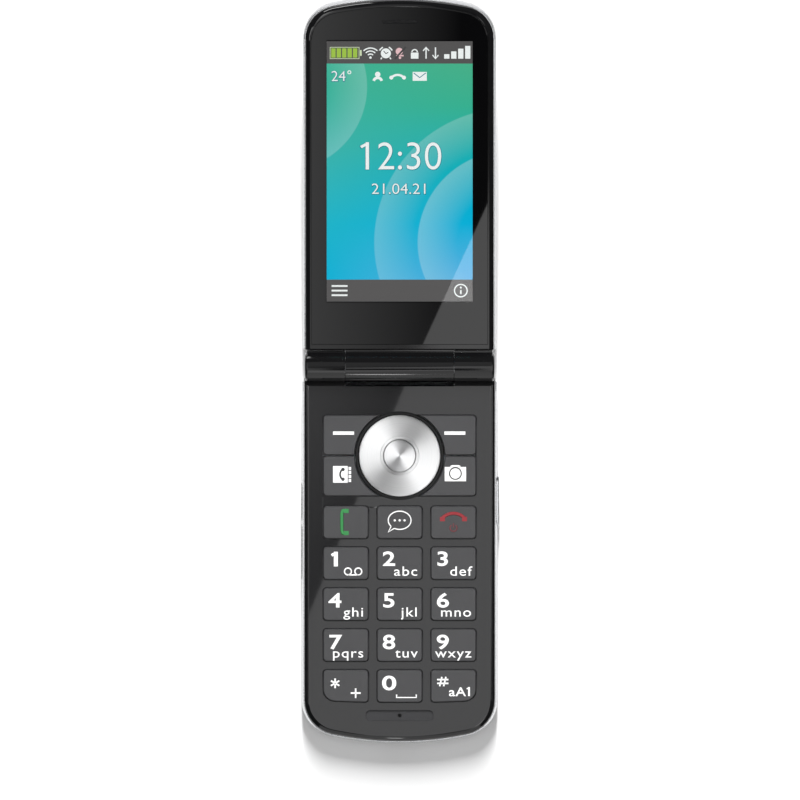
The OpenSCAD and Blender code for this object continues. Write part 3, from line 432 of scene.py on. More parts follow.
def wallpaper():
    """Lit wallpaper: green above, blue below, with soft round ripples from both sides."""
    made, tree = material("lit_wallpaper")
    centre = Matrix.Rotation(-TILT, 3, "X") @ on_lid(0, SEEN_S, SCREEN_Z)
    place = place_on(tree, (-TILT, 0, 0), [-c / MM for c in centre])
    x, y, _ = node(tree, "SeparateXYZ", {"Vector": place}).outputs
    up = node(tree, "MapRange", {"Value": y, "From Min": -HALF_L * MM, "From Max": HALF_L * MM})
    across = node(tree, "MapRange", {"Value": x, "From Min": -HALF_W * MM, "From Max": HALF_W * MM})
    edges = []
    # a new ramp has two stops, and takes the others between them
    for stops in (LEFT_EDGE, RIGHT_EDGE):
        edge = node(tree, "ValToRGB", {"Fac": up})
        for _ in stops[2:]:
            edge.color_ramp.elements.new(0.5)
        for element, (position, code) in zip(edge.color_ramp.elements, stops):
            element.position = position
            element.color = linear(code)
        edges.append(edge)
    colour = node(tree, "Mix", {0: across, 6: edges[0], 7: edges[1]}, data_type="RGBA")
    # each ripple is bright at its rim and fades inwards
    for at, reach, glow in RIPPLES:
        away = node(tree, "VectorMath", {0: place, 1: [a * MM for a in at]}, operation="DISTANCE")
        fading = {"Value": away, "From Min": (reach - 11) * MM, "From Max": reach * MM, "To Max": glow}
        rim = {"Value": away, "From Min": (reach - 0.15) * MM, "From Max": (reach + 0.15) * MM}
        fade = node(tree, "MapRange", fading)
        inside = node(tree, "MapRange", rim | {"To Min": 1.0, "To Max": 0.0})
        share = node(tree, "Math", {0: fade, 1: inside}, operation="MULTIPLY")
        colour = node(tree, "Mix", {0: share, 6: colour, 7: "#c4eef2"}, data_type="RGBA")
    node(tree, "OutputMaterial", {"Surface": node(tree, "Emission", {"Color": colour})})
    return made


screen_wallpaper = wallpaper()


# ---------------------------------------------------------------- modelling helpers


def pick(piece):
    """Selects this piece alone."""
    if bpy.context.object and bpy.context.object.mode != "OBJECT":
        bpy.ops.object.mode_set(mode="OBJECT")
    bpy.ops.object.select_all(action="DESELECT")
    piece.select_set(True)
    bpy.context.view_layer.objects.active = piece
    return piece


def settle(piece, place=None):
    """Puts the piece's place into its mesh, which leaves its object at the origin."""
    pick(piece)
    if place is not None:
        piece.matrix_world = place @ piece.matrix_world
    bpy.ops.object.transform_apply(location=True, rotation=True, scale=True)
    return piece


def modify(piece, kind, **settings):
    """Adds a modifier and applies it."""
    pick(piece)
    made = piece.modifiers.new(kind.lower(), kind)
    for name, value in settings.items():
        setattr(made, name, value)
    bpy.ops.object.modifier_apply(modifier=made.name)


def smooth(piece):
    """Smooth shading, but every face that is wide for its outline, or very large, stays flat."""
    pick(piece)
    bpy.ops.object.shade_smooth_by_angle(angle=math.radians(35))
    points = piece.data.vertices
    for face in piece.data.polygons:
        outline = sum((points[a].co - points[b].co).length for a, b in face.edge_keys)
        wide = max(3 * MM * MM, 0.01 * outline * outline)
        if face.area > min(wide, 60 * MM * MM):
            face.use_smooth = False
    modify(piece, "WEIGHTED_NORMAL", mode="FACE_AREA", weight=100, keep_sharp=True)


def paint(piece, *finishes):
    """Gives the piece these finishes in place of its own."""
    piece.data.materials.clear()
    for finish in finishes:
        piece.data.materials.append(finish)
    return piece


def zone(piece, slot, holds):
    """Gives the faces for which holds(centre in millimetres, normal) is true the finish in this slot."""
    for face in piece.data.polygons:
        if holds(face.center / MM, face.normal):
            face.material_index = slot


def fit(piece, body, slot, *stands_for):
    """The piece rides on a body and stands for its CAD nodes, which it hides; the slot is not used."""
    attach(piece, body)
    if stands_for:
        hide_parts(*stands_for)
    return piece


def moulding(name, source, edge_mm, *finishes):
    """The CAD solid as it leaves the mould: one skin, with its sharp edges broken by a small radius."""
    piece = bpy.data.objects.new(name, cad[source].data.copy())
    scene.collection.objects.link(piece)
    pick(piece)
    bpy.ops.mesh.customdata_custom_splitnormals_clear()
    bpy.ops.object.mode_set(mode="EDIT")
    bpy.ops.mesh.select_all(action="SELECT")
    bpy.ops.mesh.remove_doubles(threshold=2e-6)
    bpy.ops.mesh.dissolve_limited(angle_limit=math.radians(0.1))
    bpy.ops.object.mode_set(mode="OBJECT")
    if edge_mm:
        sharp = math.radians(40)
        modify(piece, "BEVEL", width=edge_mm * MM, segments=2, limit_method="ANGLE", angle_limit=sharp)
    smooth(piece)
    return paint(piece, *finishes)


def turned(name, profile, steps, *finishes):
    """Round piece: a circle, drawn out from point to point of its profile of (radius, height)."""
    # a point on the axis is kept 0.001 mm off it, and its ring is then merged
    profile = [(max(r, 0.001), z) for r, z in profile]
    (radius, height), *rest = profile
    bpy.ops.mesh.primitive_circle_add(vertices=steps, radius=radius * MM, location=(0, 0, height * MM))
    piece = settle(bpy.context.object)
    piece.name = name
    pick(piece)
    bpy.ops.object.mode_set(mode="EDIT")
    bpy.ops.mesh.select_all(action="SELECT")
    for next_radius, next_height in rest:
        bpy.ops.mesh.extrude_edges_move()
        bpy.ops.transform.translate(value=(0, 0, (next_height - height) * MM))
        scale = next_radius / radius
        bpy.ops.transform.resize(value=(scale, scale, 1), center_override=(0, 0, next_height * MM))
        radius, height = next_radius, next_height
    bpy.ops.mesh.select_all(action="SELECT")
    bpy.ops.mesh.remove_doubles(threshold=5e-6)
    bpy.ops.mesh.normals_make_consistent(inside=False)
    bpy.ops.object.mode_set(mode="OBJECT")
    smooth(piece)
    return paint(piece, *finishes)


# ---------------------------------------------------------------- printing helpers: flat marks in millimetres


def arc(x, y, radius, start, end, steps, squash=1.0):
    """Points on an arc, with angles in degrees."""
    turns = [math.radians(start + (end - start) * i / steps) for i in range(steps + 1)]
    return [(x + radius * math.cos(t), y + squash * radius * math.sin(t)) for t in turns]


def line(points, width, closed=False):
    """Drawn line of this width, pressed flat."""
    curve = bpy.data.curves.new("line", "CURVE")
    curve.dimensions = "3D"
    curve.bevel_depth = width / 2 * MM
    curve.bevel_resolution = 1
    curve.use_fill_caps = True
    spline = curve.splines.new("POLY")
    spline.points.add(len(points) - 1)
    spline.use_cyclic_u = closed
    for point, (x, y) in zip(spline.points, points):
        point.co = (x * MM, y * MM, 0, 1)
    made = bpy.data.objects.new("line", curve)
    scene.collection.objects.link(made)
    pick(made)
    bpy.ops.object.convert(target="MESH")
    made = bpy.context.object
    made.scale.z = INK / width
    return settle(made)


def circle(x, y, radius, width, steps):
    """Drawn circle of this width."""
    return line(arc(x, y, radius, 0, 360, steps)[:-1], width, closed=True)


def dot(x, y, radius):
    """Round spot."""
    at = (x * MM, y * MM, 0)
    bpy.ops.mesh.primitive_cylinder_add(vertices=28, radius=radius * MM, depth=INK * MM, location=at)
    return settle(bpy.context.object)


def bar(left, right, low, high):
    """Upright rectangle between these sides."""
    bpy.ops.mesh.primitive_cube_add(size=MM, location=((left + right) / 2 * MM, (low + high) / 2 * MM, 0))
    made = bpy.context.object
    made.scale = (right - left, high - low, INK)
    return settle(made)


def letters(text, size, x, y, bold=0.0, wide=1.0, align="CENTER", apart=1.0):
    """Type of this size, with its baseline at y."""
    bpy.ops.object.text_add()
    made = bpy.context.object
    made.data.body = text
    made.data.size = size * MM
    made.data.offset = bold * MM
    made.data.extrude = INK / 2 * MM
    made.data.resolution_u = 6
    made.data.space_character = apart
    made.data.align_x = align
    bpy.ops.object.convert(target="MESH")
    made = bpy.context.object
    made.scale.x = wide
    made.location = (x * MM, y * MM, 0)
    return settle(made)


def one(x, y, height, width, reach):
    """Figure 1 with a flag: its stem's left edge at x, its foot at y."""
    top = y + height
    flag = [(x + width * 0.6, top - width * 0.4), (x - reach + width * 0.3, top - width * 0.4 - reach * 0.62)]
    return [bar(x, x + width, y, top), line(flag, width * 0.8)]


def stamp(name, finish, marks, place):
    """Joins marks into one print, moves it to its place and gives it its ink."""
    pick(marks[0])
    for mark in marks[1:]:
        mark.select_set(True)
    if len(marks) > 1:
        bpy.ops.object.join()
    piece = bpy.context.object
    piece.name = name
    settle(piece, place)
    return paint(piece, finish)


# ---------------------------------------------------------------- housings

SLOT_Y = -46.25  # middle line of the slot below the keys


def on_plate(p, n):
    """The plate round the keys."""
    return n.z > 0.985 and p.z > FACE_Z - 1.0 and p.y < HINGE_Y - 3.4


def on_bevel(p, n):
    """The bevel between plate and barrel."""
    return n.z > 0.8 and n.y > 0.3 and p.z > FACE_Z - 1.2 and 44.5 < p.y < 46.7


def in_slot(p, n):
    """The floor of the slot below the keys."""
    return n.z > 0.85 and abs(p.x) < 9.4 and abs(p.y - SLOT_Y) < 1.6 and p.z < FACE_Z - 0.2


# plate and bevel are lacquered grey and the slot's floor is left satin; rim and barrel are black
face = moulding("base_face", "base_front_housing", 0.06, gloss_black, lacquered_grey, satin_grey)
zone(face, 1, on_plate)
zone(face, 1, on_bevel)
zone(face, 2, in_slot)
fit(face, "base", "face_grey", "base_front_housing")

# name, CAD node, width of the broken edges, finish, body and slot of each plainer moulding
HOUSINGS = (
    ("base_band", "base_rear_housing", 0.06, silver_lacquer, "base", "band_silver"),
    ("back_cover", "battery_cover", 0.1, eroded_black, "battery_cover", "cover_black"),
    ("lid_frame", "lid_front_housing", 0.06, gloss_black, "lid", "frame_black"),
    ("lid_band", "lid_rear_housing", 0.06, silver_lacquer, "lid", "band_silver"),
    ("lid_back", "lid_back_cover", 0.1, gloss_black, "lid", "frame_black"),
)
for name, source, edge, finish, ridden, slot in HOUSINGS:
    fit(moulding(name, source, edge, finish), ridden, slot, source)
for name in ("side_key_left", "volume_rocker", "side_key_right"):
    fit(moulding("lacquered_" + name, name, 0.06, silver_lacquer), name, "band_silver", name)

# ---------------------------------------------------------------- navigation key

to_ring = Matrix.Translation((0, RING_Y * MM, 0))

collar_in = RING_R + 0.18
collar_profile = [
    (collar_in, 10.0),
    (collar_in, 10.6),
    (collar_in + 0.12, 10.72),
    (collar_in + 0.62, 10.72),
    (collar_in + 0.8, 10.62),
    (collar_in + 0.8, 10.0),
]
collar = turned("ring_collar", collar_profile, 160, soft_black)
fit(settle(collar, to_ring), "base", "frame_black")

# the ring's face is very slightly dished, with a chamfer outside and a stepped bevel round the button
ring_low = RING_TOP - 1.7
ring_profile = [
    (RING_HOLE, ring_low),
    (RING_R, ring_low),
    (RING_R, RING_TOP - 0.4),
    (RING_R - 0.12, RING_TOP - 0.16),
    (RING_R - 0.4, RING_TOP - 0.03),
    (RING_R - 1.4, RING_TOP),
    (8.2, RING_TOP - 0.04),
    (6.4, RING_TOP - 0.02),
    (RING_HOLE + 0.2, RING_TOP),
    (RING_HOLE + 0.1, RING_TOP - 0.14),
    (OK_R + 0.16, RING_TOP - 0.3),
    (OK_R + 0.16, RING_TOP - 0.7),
    (RING_HOLE, RING_TOP - 1.0),
    (RING_HOLE, ring_low),
]
ring = turned("ring", ring_profile, 192, ring_aluminium)
fit(settle(ring, to_ring), "nav_ring", "nav_metal", "nav_ring")

# the button has a flange under the ring and a hollow top that the finger finds
ok_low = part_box("ok_button")[0].z / MM
ok_profile = [
    (0.0, ok_low),
    (OK_R + 1.05, ok_low),
    (OK_R + 1.05, ok_low + 0.4),
    (OK_R, ok_low + 0.4),
    (OK_R, RING_TOP - 0.3),
    (OK_R - 0.1, RING_TOP - 0.08),
    (OK_R - 0.35, RING_TOP + 0.03),
    (2.7, RING_TOP - 0.06),
    (1.2, RING_TOP - 0.13),
    (0.0, RING_TOP - 0.15),
]
button = turned("middle_button", ok_profile, 128, button_aluminium)
fit(settle(button, to_ring), "ok_button", "nav_metal", "ok_button")

# ---------------------------------------------------------------- keycaps and their print


def on_key(name, x=0.0, y=0.0):
    """Place on a key's top, from the middle of its cap."""
    at = middle(name)
    return Matrix.Translation(Vector((at.x + x, at.y + y, KEY_TOP + INK / 2)) * MM)


def printed(name, finish, marks, place=None):
    """Print on a key, which moves with it."""
    count = sum(piece.name.startswith("print_" + name[4:]) for piece in scene.objects)
    piece = stamp(f"print_{name[4:]}_{count}", finish, marks, place or on_key(name))
    fit(piece, name, "key_grey")


for name in [n for n in cad if n.startswith("key_")]:
    fit(moulding("cap_" + name[4:], name, 0.03, satin_key), name, "key_grey", name)

DIGIT = 5.5  # size of the type, so that a figure is 4.1 mm high
LETTER = 3.7  # size of the letters, so that an x is 2 mm high
DIGIT_X = -2.95
DIGIT_BASE = -0.62  # baseline of the first row's figures, from the middle of the key
LETTER_X = 5.0  # right-hand end of the letters
LETTER_BASE = -3.42
GROUPS = (None, "abc", "def", "ghi", "jkl", "mno", "pqrs", "tuv", "wxyz")
for index, group in enumerate(GROUPS):
    if group:
        # the figures sit a little lower on their keys from row to row
        base = DIGIT_BASE - 0.2 * (index // 3)
        figure = letters(str(index + 1), DIGIT, DIGIT_X, base, bold=0.1, wide=1.32)
        small = letters(group, LETTER, LETTER_X, LETTER_BASE, bold=0.01, wide=1.2, align="RIGHT", apart=1.13)
        marks = [figure, small]
    else:
        marks = one(-3.3, -0.87, 4.05, 1.1, 0.95)
        # two reels joined by their tape
        marks += [circle(x, -2.3, 0.95, 0.42, 24) for x in (0.6, 3.45)]
        marks.append(line([(0.6, -3.25), (3.45, -3.25)], 0.42))
    printed(f"key_{index + 1}", white_ink, marks)

star = [line(arc(-2.95, 0.72, 1.35, start, start + 180, 1), 0.52) for start in (30, 90, 150)]
plus = [line([(1.35, -2.0), (4.1, -2.0)], 0.5), line([(2.72, -3.35), (2.72, -0.65)], 0.5)]
printed("key_star", white_ink, star + plus)
space = line([(-0.85, -2.35), (-0.85, -3.2), (4.6, -3.2), (4.6, -2.35)], 0.45)
printed("key_0", white_ink, [letters("0", DIGIT, -2.9, -1.05, bold=0.1, wide=1.5), space])
hash_sign = [line([(-4.5, y), (-1.4, y)], 0.48) for y in (0.68, 1.72)]
hash_sign += [line([(x - 0.32, -0.1), (x + 0.32, 2.5)], 0.48) for x in (-3.5, -2.4)]
small = letters("aA", LETTER * 0.95, 3.4, -2.8, bold=0.03, wide=1.2, align="RIGHT", apart=1.05)
printed("key_hash", white_ink, hash_sign + [small] + one(4.05, -2.8, 2.5, 0.5, 0.55))

# middles of the signs round the ring, from the ring's own middle
ROUND_RING = {
    "key_soft_left": (-15.5, 6.25),
    "key_soft_right": (15.25, 6.25),
    "key_contacts": (-15.9, -5.15),
    "key_camera": (15.4, -4.75),
}


def by_ring(name, level=0.0):
    """Place of a sign round the ring; level counts the layers of ink below it."""
    x, y = ROUND_RING[name]
    return Matrix.Translation(Vector((x, RING_Y + y, KEY_TOP + INK * (level + 0.5))) * MM)


for name in ("key_soft_left", "key_soft_right"):
    printed(name, white_ink, [bar(-2.9, 2.9, -0.45, 0.45)], by_ring(name))
# card file with four tabs, and a handset on its cover
card_file = [bar(-2.5, 1.55, -2.3, 2.3)]
card_file += [bar(1.8, 2.5, -2.1 + 1.1 * i, -1.25 + 1.1 * i) for i in range(4)]
printed("key_contacts", white_ink, card_file, by_ring("key_contacts"))
handset = [line(arc(1.2, 0, 1.75, 125, 235, 10), 0.5), dot(0.25, 1.35, 0.48), dot(0.25, -1.35, 0.48)]
printed("key_contacts", grey_ink, handset, by_ring("key_contacts", 1))
# camera with its hump and lens
body = [bar(-2.95, 2.95, -2.3, 1.65), bar(-1.05, 1.05, 1.6, 2.15)]
body += [line([(x * 1.35, 1.72), (x * 1.05, 2.0)], 0.3) for x in (-1, 1)]
printed("key_camera", white_ink, body, by_ring("key_camera"))
printed("key_camera", grey_ink, [circle(0, -0.15, 1.62, 0.34, 32)], by_ring("key_camera", 1))

# green handset, speech bubble and red handset
back = [(0.15, 3.25), (-0.85, 3.1), (-1.1, 2.4), (-1.1, -2.4), (-0.85, -3.1), (0.15, -3.25)]
call = [line(back, 0.95), bar(-0.6, 0.8, 2.5, 3.6), bar(-0.6, 0.8, -3.6, -2.5)]
printed("key_call", green_ink, call, on_key("key_call", 0, 0.1))
bubble = [line(arc(0, 0.55, 3.15, -118, 222, 44, 0.8), 0.34)]
bubble.append(line([(-1.5, -1.68), (-3.2, -2.75), (-2.35, -1.15)], 0.34))
bubble += [dot(x, 0.55, 0.3) for x in (-1.35, 0, 1.35)]
printed("key_message", white_ink, bubble)
end = [line(arc(0, -2.6, 4.3, 38, 142, 16), 0.95)]
end += [bar(-3.75, -2.35, -0.45, 0.75), bar(2.35, 3.75, -0.45, 0.75)]
printed("key_end", red_ink, end, on_key("key_end", 0, 0.75))
power = [line(arc(0, -1.9, 0.95, 125, 415, 20), 0.42), line([(0, -1.75), (0, -0.6)], 0.42)]
printed("key_end", dim_red_ink, power, on_key("key_end", 0, 0.35))

# ---------------------------------------------------------------- window and screen

# the sheet is cut along the four edges of the lit screen, so that the print ends there
window = moulding("window", "display_window", 0, window_print, window_clear)
pick(window)
bpy.ops.object.shade_flat()
bpy.ops.object.mode_set(mode="EDIT")
turn = Matrix.Rotation(TILT, 3, "X")
for x, s, way in (
    (-HALF_W, SCREEN_S, (1, 0, 0)),
    (HALF_W, SCREEN_S, (1, 0, 0)),
    (0, SCREEN_S - HALF_L, (0, 1, 0)),
    (0, SCREEN_S + HALF_L, (0, 1, 0)),
):
    bpy.ops.mesh.select_all(action="SELECT")
    bpy.ops.mesh.bisect(plane_co=on_lid(x, s, FACE_Z), plane_no=turn @ Vector(way))
bpy.ops.object.mode_set(mode="OBJECT")


def over_screen(p, n):
    """The part of the window in front of the lit screen."""
    q = flat_place(p)
    return abs(q.x) < HALF_W and abs(q.y - HINGE_Y - SCREEN_S) < HALF_L


zone(window, 1, over_screen)
fit(window, "lid", "window_glass", "display_window")

panel = moulding("display_panel", "lcd_panel", 0, inner_black, screen_wallpaper)
zone(panel, 1, lambda p, n: flat_place(p).z > SCREEN_Z - 0.02)
fit(panel, "lid", "display", "lcd_panel")


def shown(name, finish, marks, level=1.0, row=0.0):
    """Lit marks, placed from the middle of a row of the screen; a higher level lies on a lower one."""
    at = Vector((0, HINGE_Y + SEEN_S + row, SCREEN_Z + level * INK)) * MM
    fit(stamp("screen_" + name, finish, marks, raised @ Matrix.Translation(at)), "lid", "display")


def shown_type(name, text, size, x, y, bold, wide, align="CENTER", row=0.0):
    """Lit type with a thin shadow round it."""
    under = letters(text, size, x + 0.05, y - 0.08, bold + 0.15, wide, align)
    shown(name + "_shadow", lit_shadow, [under], 1.5, row)
    shown(name, lit_white, [letters(text, size, x, y, bold, wide, align)], 2.5, row)


# both bars run on past the ends of the screen, so that a slanting look finds no gap
shown("status_bar", lit_top_bar, [bar(-HALF_W, HALF_W, HALF_L - BAR_L, HALF_L + 0.5)])
shown("label_bar", lit_foot_bar, [bar(-HALF_W, HALF_W, -HALF_L - 0.5, BAR_L - HALF_L)])

STATUS = 33.5  # middle line of the status signs, above the middle of the screen
rim = line([(-19.2, -1.6), (-11.2, -1.6), (-11.2, 1.6), (-19.2, 1.6)], 0.22, closed=True)
shown("battery", lit_pale_green, [rim, bar(-10.95, -10.5, -0.8, 0.8)], 2, STATUS)
cells = [bar(-18.9 + 1.5 * i, -17.7 + 1.5 * i, -1.3, 1.3) for i in range(5)]
shown("charge", lit_green, cells, 2, STATUS)
waves = [dot(-8.05, -1.3, 0.34)]
waves += [line(arc(-8.05, -1.3, r, 45, 135, 8), 0.34) for r in (1.0, 1.85, 2.7)]
alarm = [dot(-3.8, -0.1, 1.4)]
alarm += [line(arc(-3.8, -0.1, 1.9, start, start + 40, 5), 0.36) for start in (25, 115)]
alarm += [line([(-4.9, -1.3), (-5.2, -1.75)], 0.36), line([(-2.7, -1.3), (-2.4, -1.75)], 0.36)]
padlock = [bar(3.1, 5.2, -1.6, 0.1), line(arc(4.15, 0.2, 0.75, 0, 180, 10), 0.34)]
arrows = []
for x, up in ((7.3, 1), (9.9, -1)):
    arrows.append(line([(x, -1.6 * up), (x, 1.5 * up)], 0.34))
    arrows.append(line([(x - 0.8, 0.6 * up), (x, 1.6 * up), (x + 0.8, 0.6 * up)], 0.34))
steps = [bar(12.3 + 1.93 * i, 13.75 + 1.93 * i, -1.6, -0.35 + 0.78 * i) for i in range(4)]
shown("signs", lit_white, waves + alarm + padlock + arrows + steps, 2, STATUS)
shown("clock_hands", lit_dark, [line([(-4.4, 0.55), (-3.8, -0.2), (-3.15, 0.2)], 0.26)], 3, STATUS)
muted = [dot(-0.1, 0.45, 1.0), line([(-0.9, -0.75), (1.1, -0.75)], 0.4), dot(0.1, -1.35, 0.35)]
shown("muted", lit_pink, muted, 2, STATUS)
shown("slash", lit_dark, [line([(-1.3, -1.7), (1.7, 1.7)], 0.5)], 3, STATUS)

shown_type("time", "2:30", 11.2, 2.75, 0.6, -0.08, 0.95)
shown("hour_shadow", lit_shadow, one(-9.55, 0.42, 7.95, 1.25, 1.75), 1.5)
shown("hour", lit_white, one(-9.4, 0.6, 7.7, 0.95, 1.6), 2.5)
shown_type("date", "21.04.21", 4.3, 0.1, -6.3, -0.03, 1.08)

SECOND = 26.9  # middle line of the second row
shown_type("heat", "24", 4.2, -19.0, -1.35, -0.03, 1.0, "LEFT", SECOND)
shown("degree", lit_white, [circle(-13.9, 1.15, 0.42, 0.26, 16)], 2.5, SECOND)
person = [dot(-6.05, 0.55, 0.75), line(arc(-6.05, -1.55, 1.15, 15, 165, 10), 0.75)]
missed = [line(arc(-0.55, -1.9, 2.3, 38, 142, 14), 0.62), dot(-2.3, -0.35, 0.55), dot(1.2, -0.35, 0.55)]
envelope = bar(3.6, 7.5, -1.25, 1.25)
shown("row", lit_white, person + missed + [envelope], 2.5, SECOND)
shown("flap", lit_shadow, [line([(3.9, 0.95), (5.55, -0.35), (7.2, 0.95)], 0.26)], 3.5, SECOND)

FOOT = -33.6  # middle line of the two labels: a list and an information sign
labels = [line([(-18.8, y), (-14.4, y)], 0.5) for y in (-1.3, 0, 1.3)]
labels += [circle(16.9, 0, 1.75, 0.36, 28), dot(16.9, 0.85, 0.28), line([(16.9, 0.2), (16.9, -1.0)], 0.42)]
shown("labels", lit_white, labels, 2, FOOT)

# ---------------------------------------------------------------- camera on the lid's back

lens_at = flat_place(middle("camera_window"))
lens_low = lens_at.z - 0.26
glass_profile = [
    (0.0, lens_low),
    (1.9, lens_low),
    (1.95, lens_low + 0.06),
    (2.05, lens_low + 0.06),
    (2.1, lens_low),
    (4.3, lens_low),
    (4.5, lens_low + 0.15),
    (4.5, lens_low + 0.5),
    (0.0, lens_low + 0.5),
]
lens = turned("camera_glass", glass_profile, 72, window_print, coated_glass)
zone(lens, 1, lambda p, n: math.hypot(p.x, p.y) < 1.9)
to_lens = raised @ Matrix.Translation((0, lens_at.y * MM, 0))
fit(settle(lens, to_lens), "lid", "camera_glass", "camera_window")

# ---------------------------------------------------------------- finishes of the pieces inside

# these keep the CAD node's own mesh
INSIDE = {
    "battery": cell_wrap,
    "battery_contacts": gold_plate,
    "main_board": board_green,
    "lid_board": board_green,
    "shield_cans": tinned_steel,
    "sim_socket": tinned_steel,
    "usb_port": tinned_steel,
    "vibration_motor": ground_steel,
    "dome_sheet": dome_film,
    "keypad_mat": silicone,
    "loudspeaker": inner_black,
    "microphone": inner_black,
    "antenna": dome_film,
    "side_switches": tinned_steel,
    "base_screws": zinc_steel,
    "lid_screws": zinc_steel,
    "hinge_can": ground_steel,
    "hinge_spring": ground_steel,
    "hinge_cam": ground_steel,
    "hinge_bush": ground_steel,
    "hinge_follower": ground_steel,
    "nav_rocker": inner_black,
    "display_flex": flex_film,
    "earpiece": inner_black,
    "earpiece_mesh": fine_mesh,
    "camera_module": inner_black,
    "lid_magnet": nickel_plate,
}
for name, finish in INSIDE.items():
    paint(cad[name], finish)

# ---------------------------------------------------------------- floor, air and lamps


def seen_ray(tree):
    """One where the ray comes from the camera, off gloss or through clear plastic."""
    path = node(tree, "LightPath")
    seen = path.outputs["Is Camera Ray"]
    for kind in ("Is Glossy Ray", "Is Transmission Ray"):
        seen = node(tree, "Math", {0: seen, 1: path.outputs[kind]}, operation="MAXIMUM")
    return seen


bpy.ops.mesh.primitive_plane_add(size=4, location=(0, 0, -0.05 * MM))
floor = bpy.context.object
floor.name = "floor"
# white card: matt, and a little lighter to the eye than the light on it makes it
paper, tree = material("white_paper")
diffuse = node(tree, "BsdfDiffuse", {"Color": "#f0f0f0"})
lift = node(tree, "Math", {0: seen_ray(tree), 1: 0.12}, operation="MULTIPLY")
glow = node(tree, "Emission", {"Strength": lift})
node(tree, "OutputMaterial", {"Surface": node(tree, "AddShader", {0: diffuse, 1: glow})})
paint(floor, paper)

air = bpy.data.worlds.new("studio_air")
scene.world = air
air.use_nodes = True
tree = air.node_tree
tree.nodes.clear()
ambient = node(tree, "Background", {"Color": "#ffffff", "Strength": 0.22})
backdrop = node(tree, "Background", {"Color": "#ffffff", "Strength": 1.0})
mixed = node(tree, "MixShader", {0: seen_ray(tree), 1: ambient, 2: backdrop})
node(tree, "OutputWorld", {"Surface": mixed})


def softbox(name, place, width, height, power):
    """Lamp aimed at the hinge, which gloss doesn't show."""
    bpy.ops.object.light_add(type="AREA", location=place)
    lamp = bpy.context.object
    lamp.name = name
    lamp.rotation_euler = (hinge - Vector(place)).to_track_quat("-Z", "Y").to_euler()
    lamp.data.shape = "RECTANGLE"
    lamp.data.size = width
    lamp.data.size_y = height
    lamp.data.energy = power
    lamp.visible_glossy = False


# sizes and places here and in the next section are in metres, as the studio is larger than the phone
softbox("far_softbox", (0.0, 2.65, 2.5), 0.25, 2.2, 190.0)
softbox("overhead_softbox", (0.0, -0.15, 1.4), 1.0, 1.0, 3.5)

# ---------------------------------------------------------------- flags and strips that only gloss sees

FLAG_Z = 0.5  # height of the overhead card
FLAG_W = 0.32  # distance of the side cards
FLAG_L = 0.84  # length of the cards along the phone
FLAG_Y = -0.02


def flag(name, centre, size, turn, glow):
    """Card seen only in reflections; glow(tree, x, y, z) is how bright it is from place to place."""
    bpy.ops.mesh.primitive_plane_add(size=1, location=centre, rotation=turn)
    made = bpy.context.object
    made.name = name
    made.scale = (*size, 1)
    settle(made)
    finish, tree = material(name + "_glow")
    x, y, z = node(tree, "SeparateXYZ", {"Vector": place_on(tree)}).outputs
    light = node(tree, "Emission", {"Strength": glow(tree, x, y, z)})
    node(tree, "OutputMaterial", {"Surface": light})
    paint(made, finish)
    for ray in ("camera", "diffuse", "shadow", "volume_scatter"):
        setattr(made, "visible_" + ray, False)


def past_edge(tree, x, y, edge_x, edge_y):
    """Distance to the right of the slanting edge of the long light strip."""
    slant = node(tree, "Math", {0: y, 1: 0.42, 2: edge_x - 0.42 * edge_y}, operation="MULTIPLY_ADD")
    return node(tree, "Math", {0: x, 1: slant}, operation="SUBTRACT")


def over_keys(tree, x, y):
    """What the key plate mirrors: the bright strip, and left of it a grey that fades towards it."""
    past = past_edge(tree, x, y, 1.1 * MM, 44.2 * MM)
    fading = {"Value": past, "From Min": -24 * MM, "From Max": -3 * MM, "To Min": 0.38, "To Max": 0.0}
    on_strip = node(tree, "Math", {0: past, 1: 0.0}, operation="GREATER_THAN")
    return node(tree, "Mix", {0: on_strip, 2: node(tree, "MapRange", fading), 3: 1.2})


def over_window(tree, x, y):
    """What the window mirrors: the same strip, and a grey that is kept off the lit screen."""
    aside = node(tree, "Math", {0: x}, operation="ABSOLUTE")
    along = node(tree, "Math", {0: y, 1: 108.7 * MM}, operation="ADD")
    beyond = node(tree, "Math", {0: along}, operation="ABSOLUTE")
    off_side = node(tree, "Math", {0: aside, 1: HALF_W * MM}, operation="GREATER_THAN")
    off_end = node(tree, "Math", {0: beyond, 1: 39.6 * MM}, operation="GREATER_THAN")
    off_screen = node(tree, "Math", {0: off_side, 1: off_end}, operation="MAXIMUM")
    fading = {"Value": x, "From Min": -24 * MM, "From Max": 17 * MM, "To Min": 0.9, "To Max": 0.02}
    grey = {0: node(tree, "MapRange", fading), 1: off_screen}
    past = past_edge(tree, x, y, 24.5 * MM, -118 * MM)
    on_strip = node(tree, "Math", {0: past, 1: 0.0}, operation="GREATER_THAN")
    return node(tree, "Mix", {0: on_strip, 2: node(tree, "Math", grey, operation="MULTIPLY"), 3: 1.6})


def over_ring(tree, x, y):
    """Two wide lobes of light, which the spun metal spreads into its bright sectors."""
    from_ring = node(tree, "Math", {0: y, 1: RING_Y * MM}, operation="SUBTRACT")
    bearing = node(tree, "Math", {0: from_ring, 1: x}, operation="ARCTAN2")
    twice = node(tree, "Math", {0: bearing, 1: 2.0, 2: math.radians(36)}, operation="MULTIPLY_ADD")
    swing = node(tree, "Math", {0: twice}, operation="COSINE")
    lobe = {"Value": swing, "From Min": -0.7, "From Max": 0.4, "To Max": 2.8}
    return node(tree, "MapRange", lobe, interpolation_type="SMOOTHSTEP")


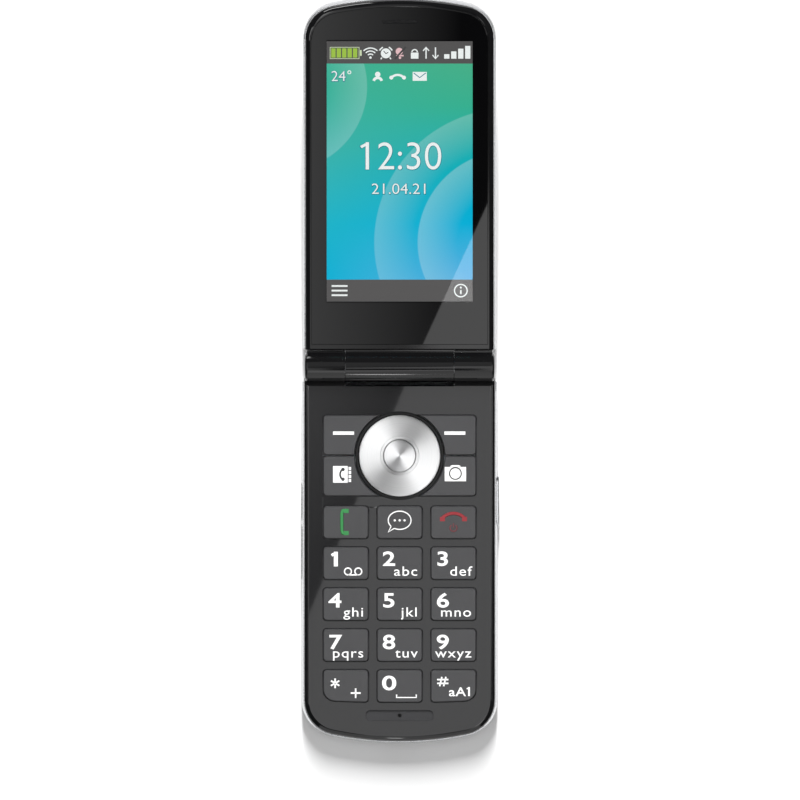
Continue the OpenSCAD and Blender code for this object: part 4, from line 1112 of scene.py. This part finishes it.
def overhead(tree, x, y, z):
    """What hangs over the phone, from place to place."""
    lid_side = node(tree, "Math", {0: y, 1: -56 * MM}, operation="LESS_THAN")
    inner = node(tree, "Mix", {0: lid_side, 2: over_keys(tree, x, y), 3: over_window(tree, x, y)})
    # beyond the window's part it is white, for the lower half of the barrel
    slant = node(tree, "Math", {0: x, 1: 3.6, 2: -265 * MM}, operation="MULTIPLY_ADD")
    beyond = node(tree, "Math", {0: y, 1: slant}, operation="LESS_THAN")
    inner = node(tree, "Mix", {0: beyond, 2: inner, 3: 0.9})
    aside = node(tree, "Math", {0: x}, operation="ABSOLUTE")
    widening = {"Value": aside, "From Min": 34 * MM, "From Max": 60 * MM}
    outside = node(tree, "MapRange", widening, interpolation_type="SMOOTHSTEP")
    return node(tree, "Mix", {0: outside, 2: inner, 3: over_ring(tree, x, y)})


def steady(strength):
    """Glow that is the same all over the card."""
    return lambda tree, x, y, z: strength


def far_strip(tree, x, y, z):
    """Strip behind the lid that draws the highlight on the left of its far edge."""
    height = (("GREATER_THAN", z, 0.06), ("LESS_THAN", z, 0.14))
    width = (("GREATER_THAN", x, -0.2), ("LESS_THAN", x, -0.034))
    inside = 1.0
    for side, at, edge in height + width:
        within = node(tree, "Math", {0: at, 1: edge}, operation=side)
        inside = node(tree, "Math", {0: inside, 1: within}, operation="MULTIPLY")
    return node(tree, "Math", {0: inside, 1: 8.0, 2: 0.06}, operation="MULTIPLY_ADD")


flag("overhead_flag", (0, FLAG_Y, FLAG_Z), (2 * FLAG_W, FLAG_L), (0, 0, 0), overhead)
flag("left_flag", (-FLAG_W, FLAG_Y, FLAG_Z / 2), (FLAG_Z, FLAG_L), (0, math.pi / 2, 0), steady(0.04))
flag("right_flag", (FLAG_W, FLAG_Y, FLAG_Z / 2), (FLAG_Z, FLAG_L), (0, math.pi / 2, 0), steady(0.08))
flag("far_flag", (0, 0.4, FLAG_Z / 2), (2 * FLAG_W, FLAG_Z), (math.pi / 2, 0, 0), far_strip)
# a narrow lamp low in front draws the short streak along the barrel
streak_turn = (math.radians(61.5), 0, 0)
flag("barrel_strip", (-5.8 * MM, -0.345, 0.226), (16.4 * MM, 0.05), streak_turn, steady(8.0))
# black cards on the table keep its white out of the black rims
for side, x in (("left", -0.183), ("right", 0.183)):
    flag(side + "_table_flag", (x, FLAG_Y, 0.001), (0.274, FLAG_L), (0, 0, 0), steady(0.04))
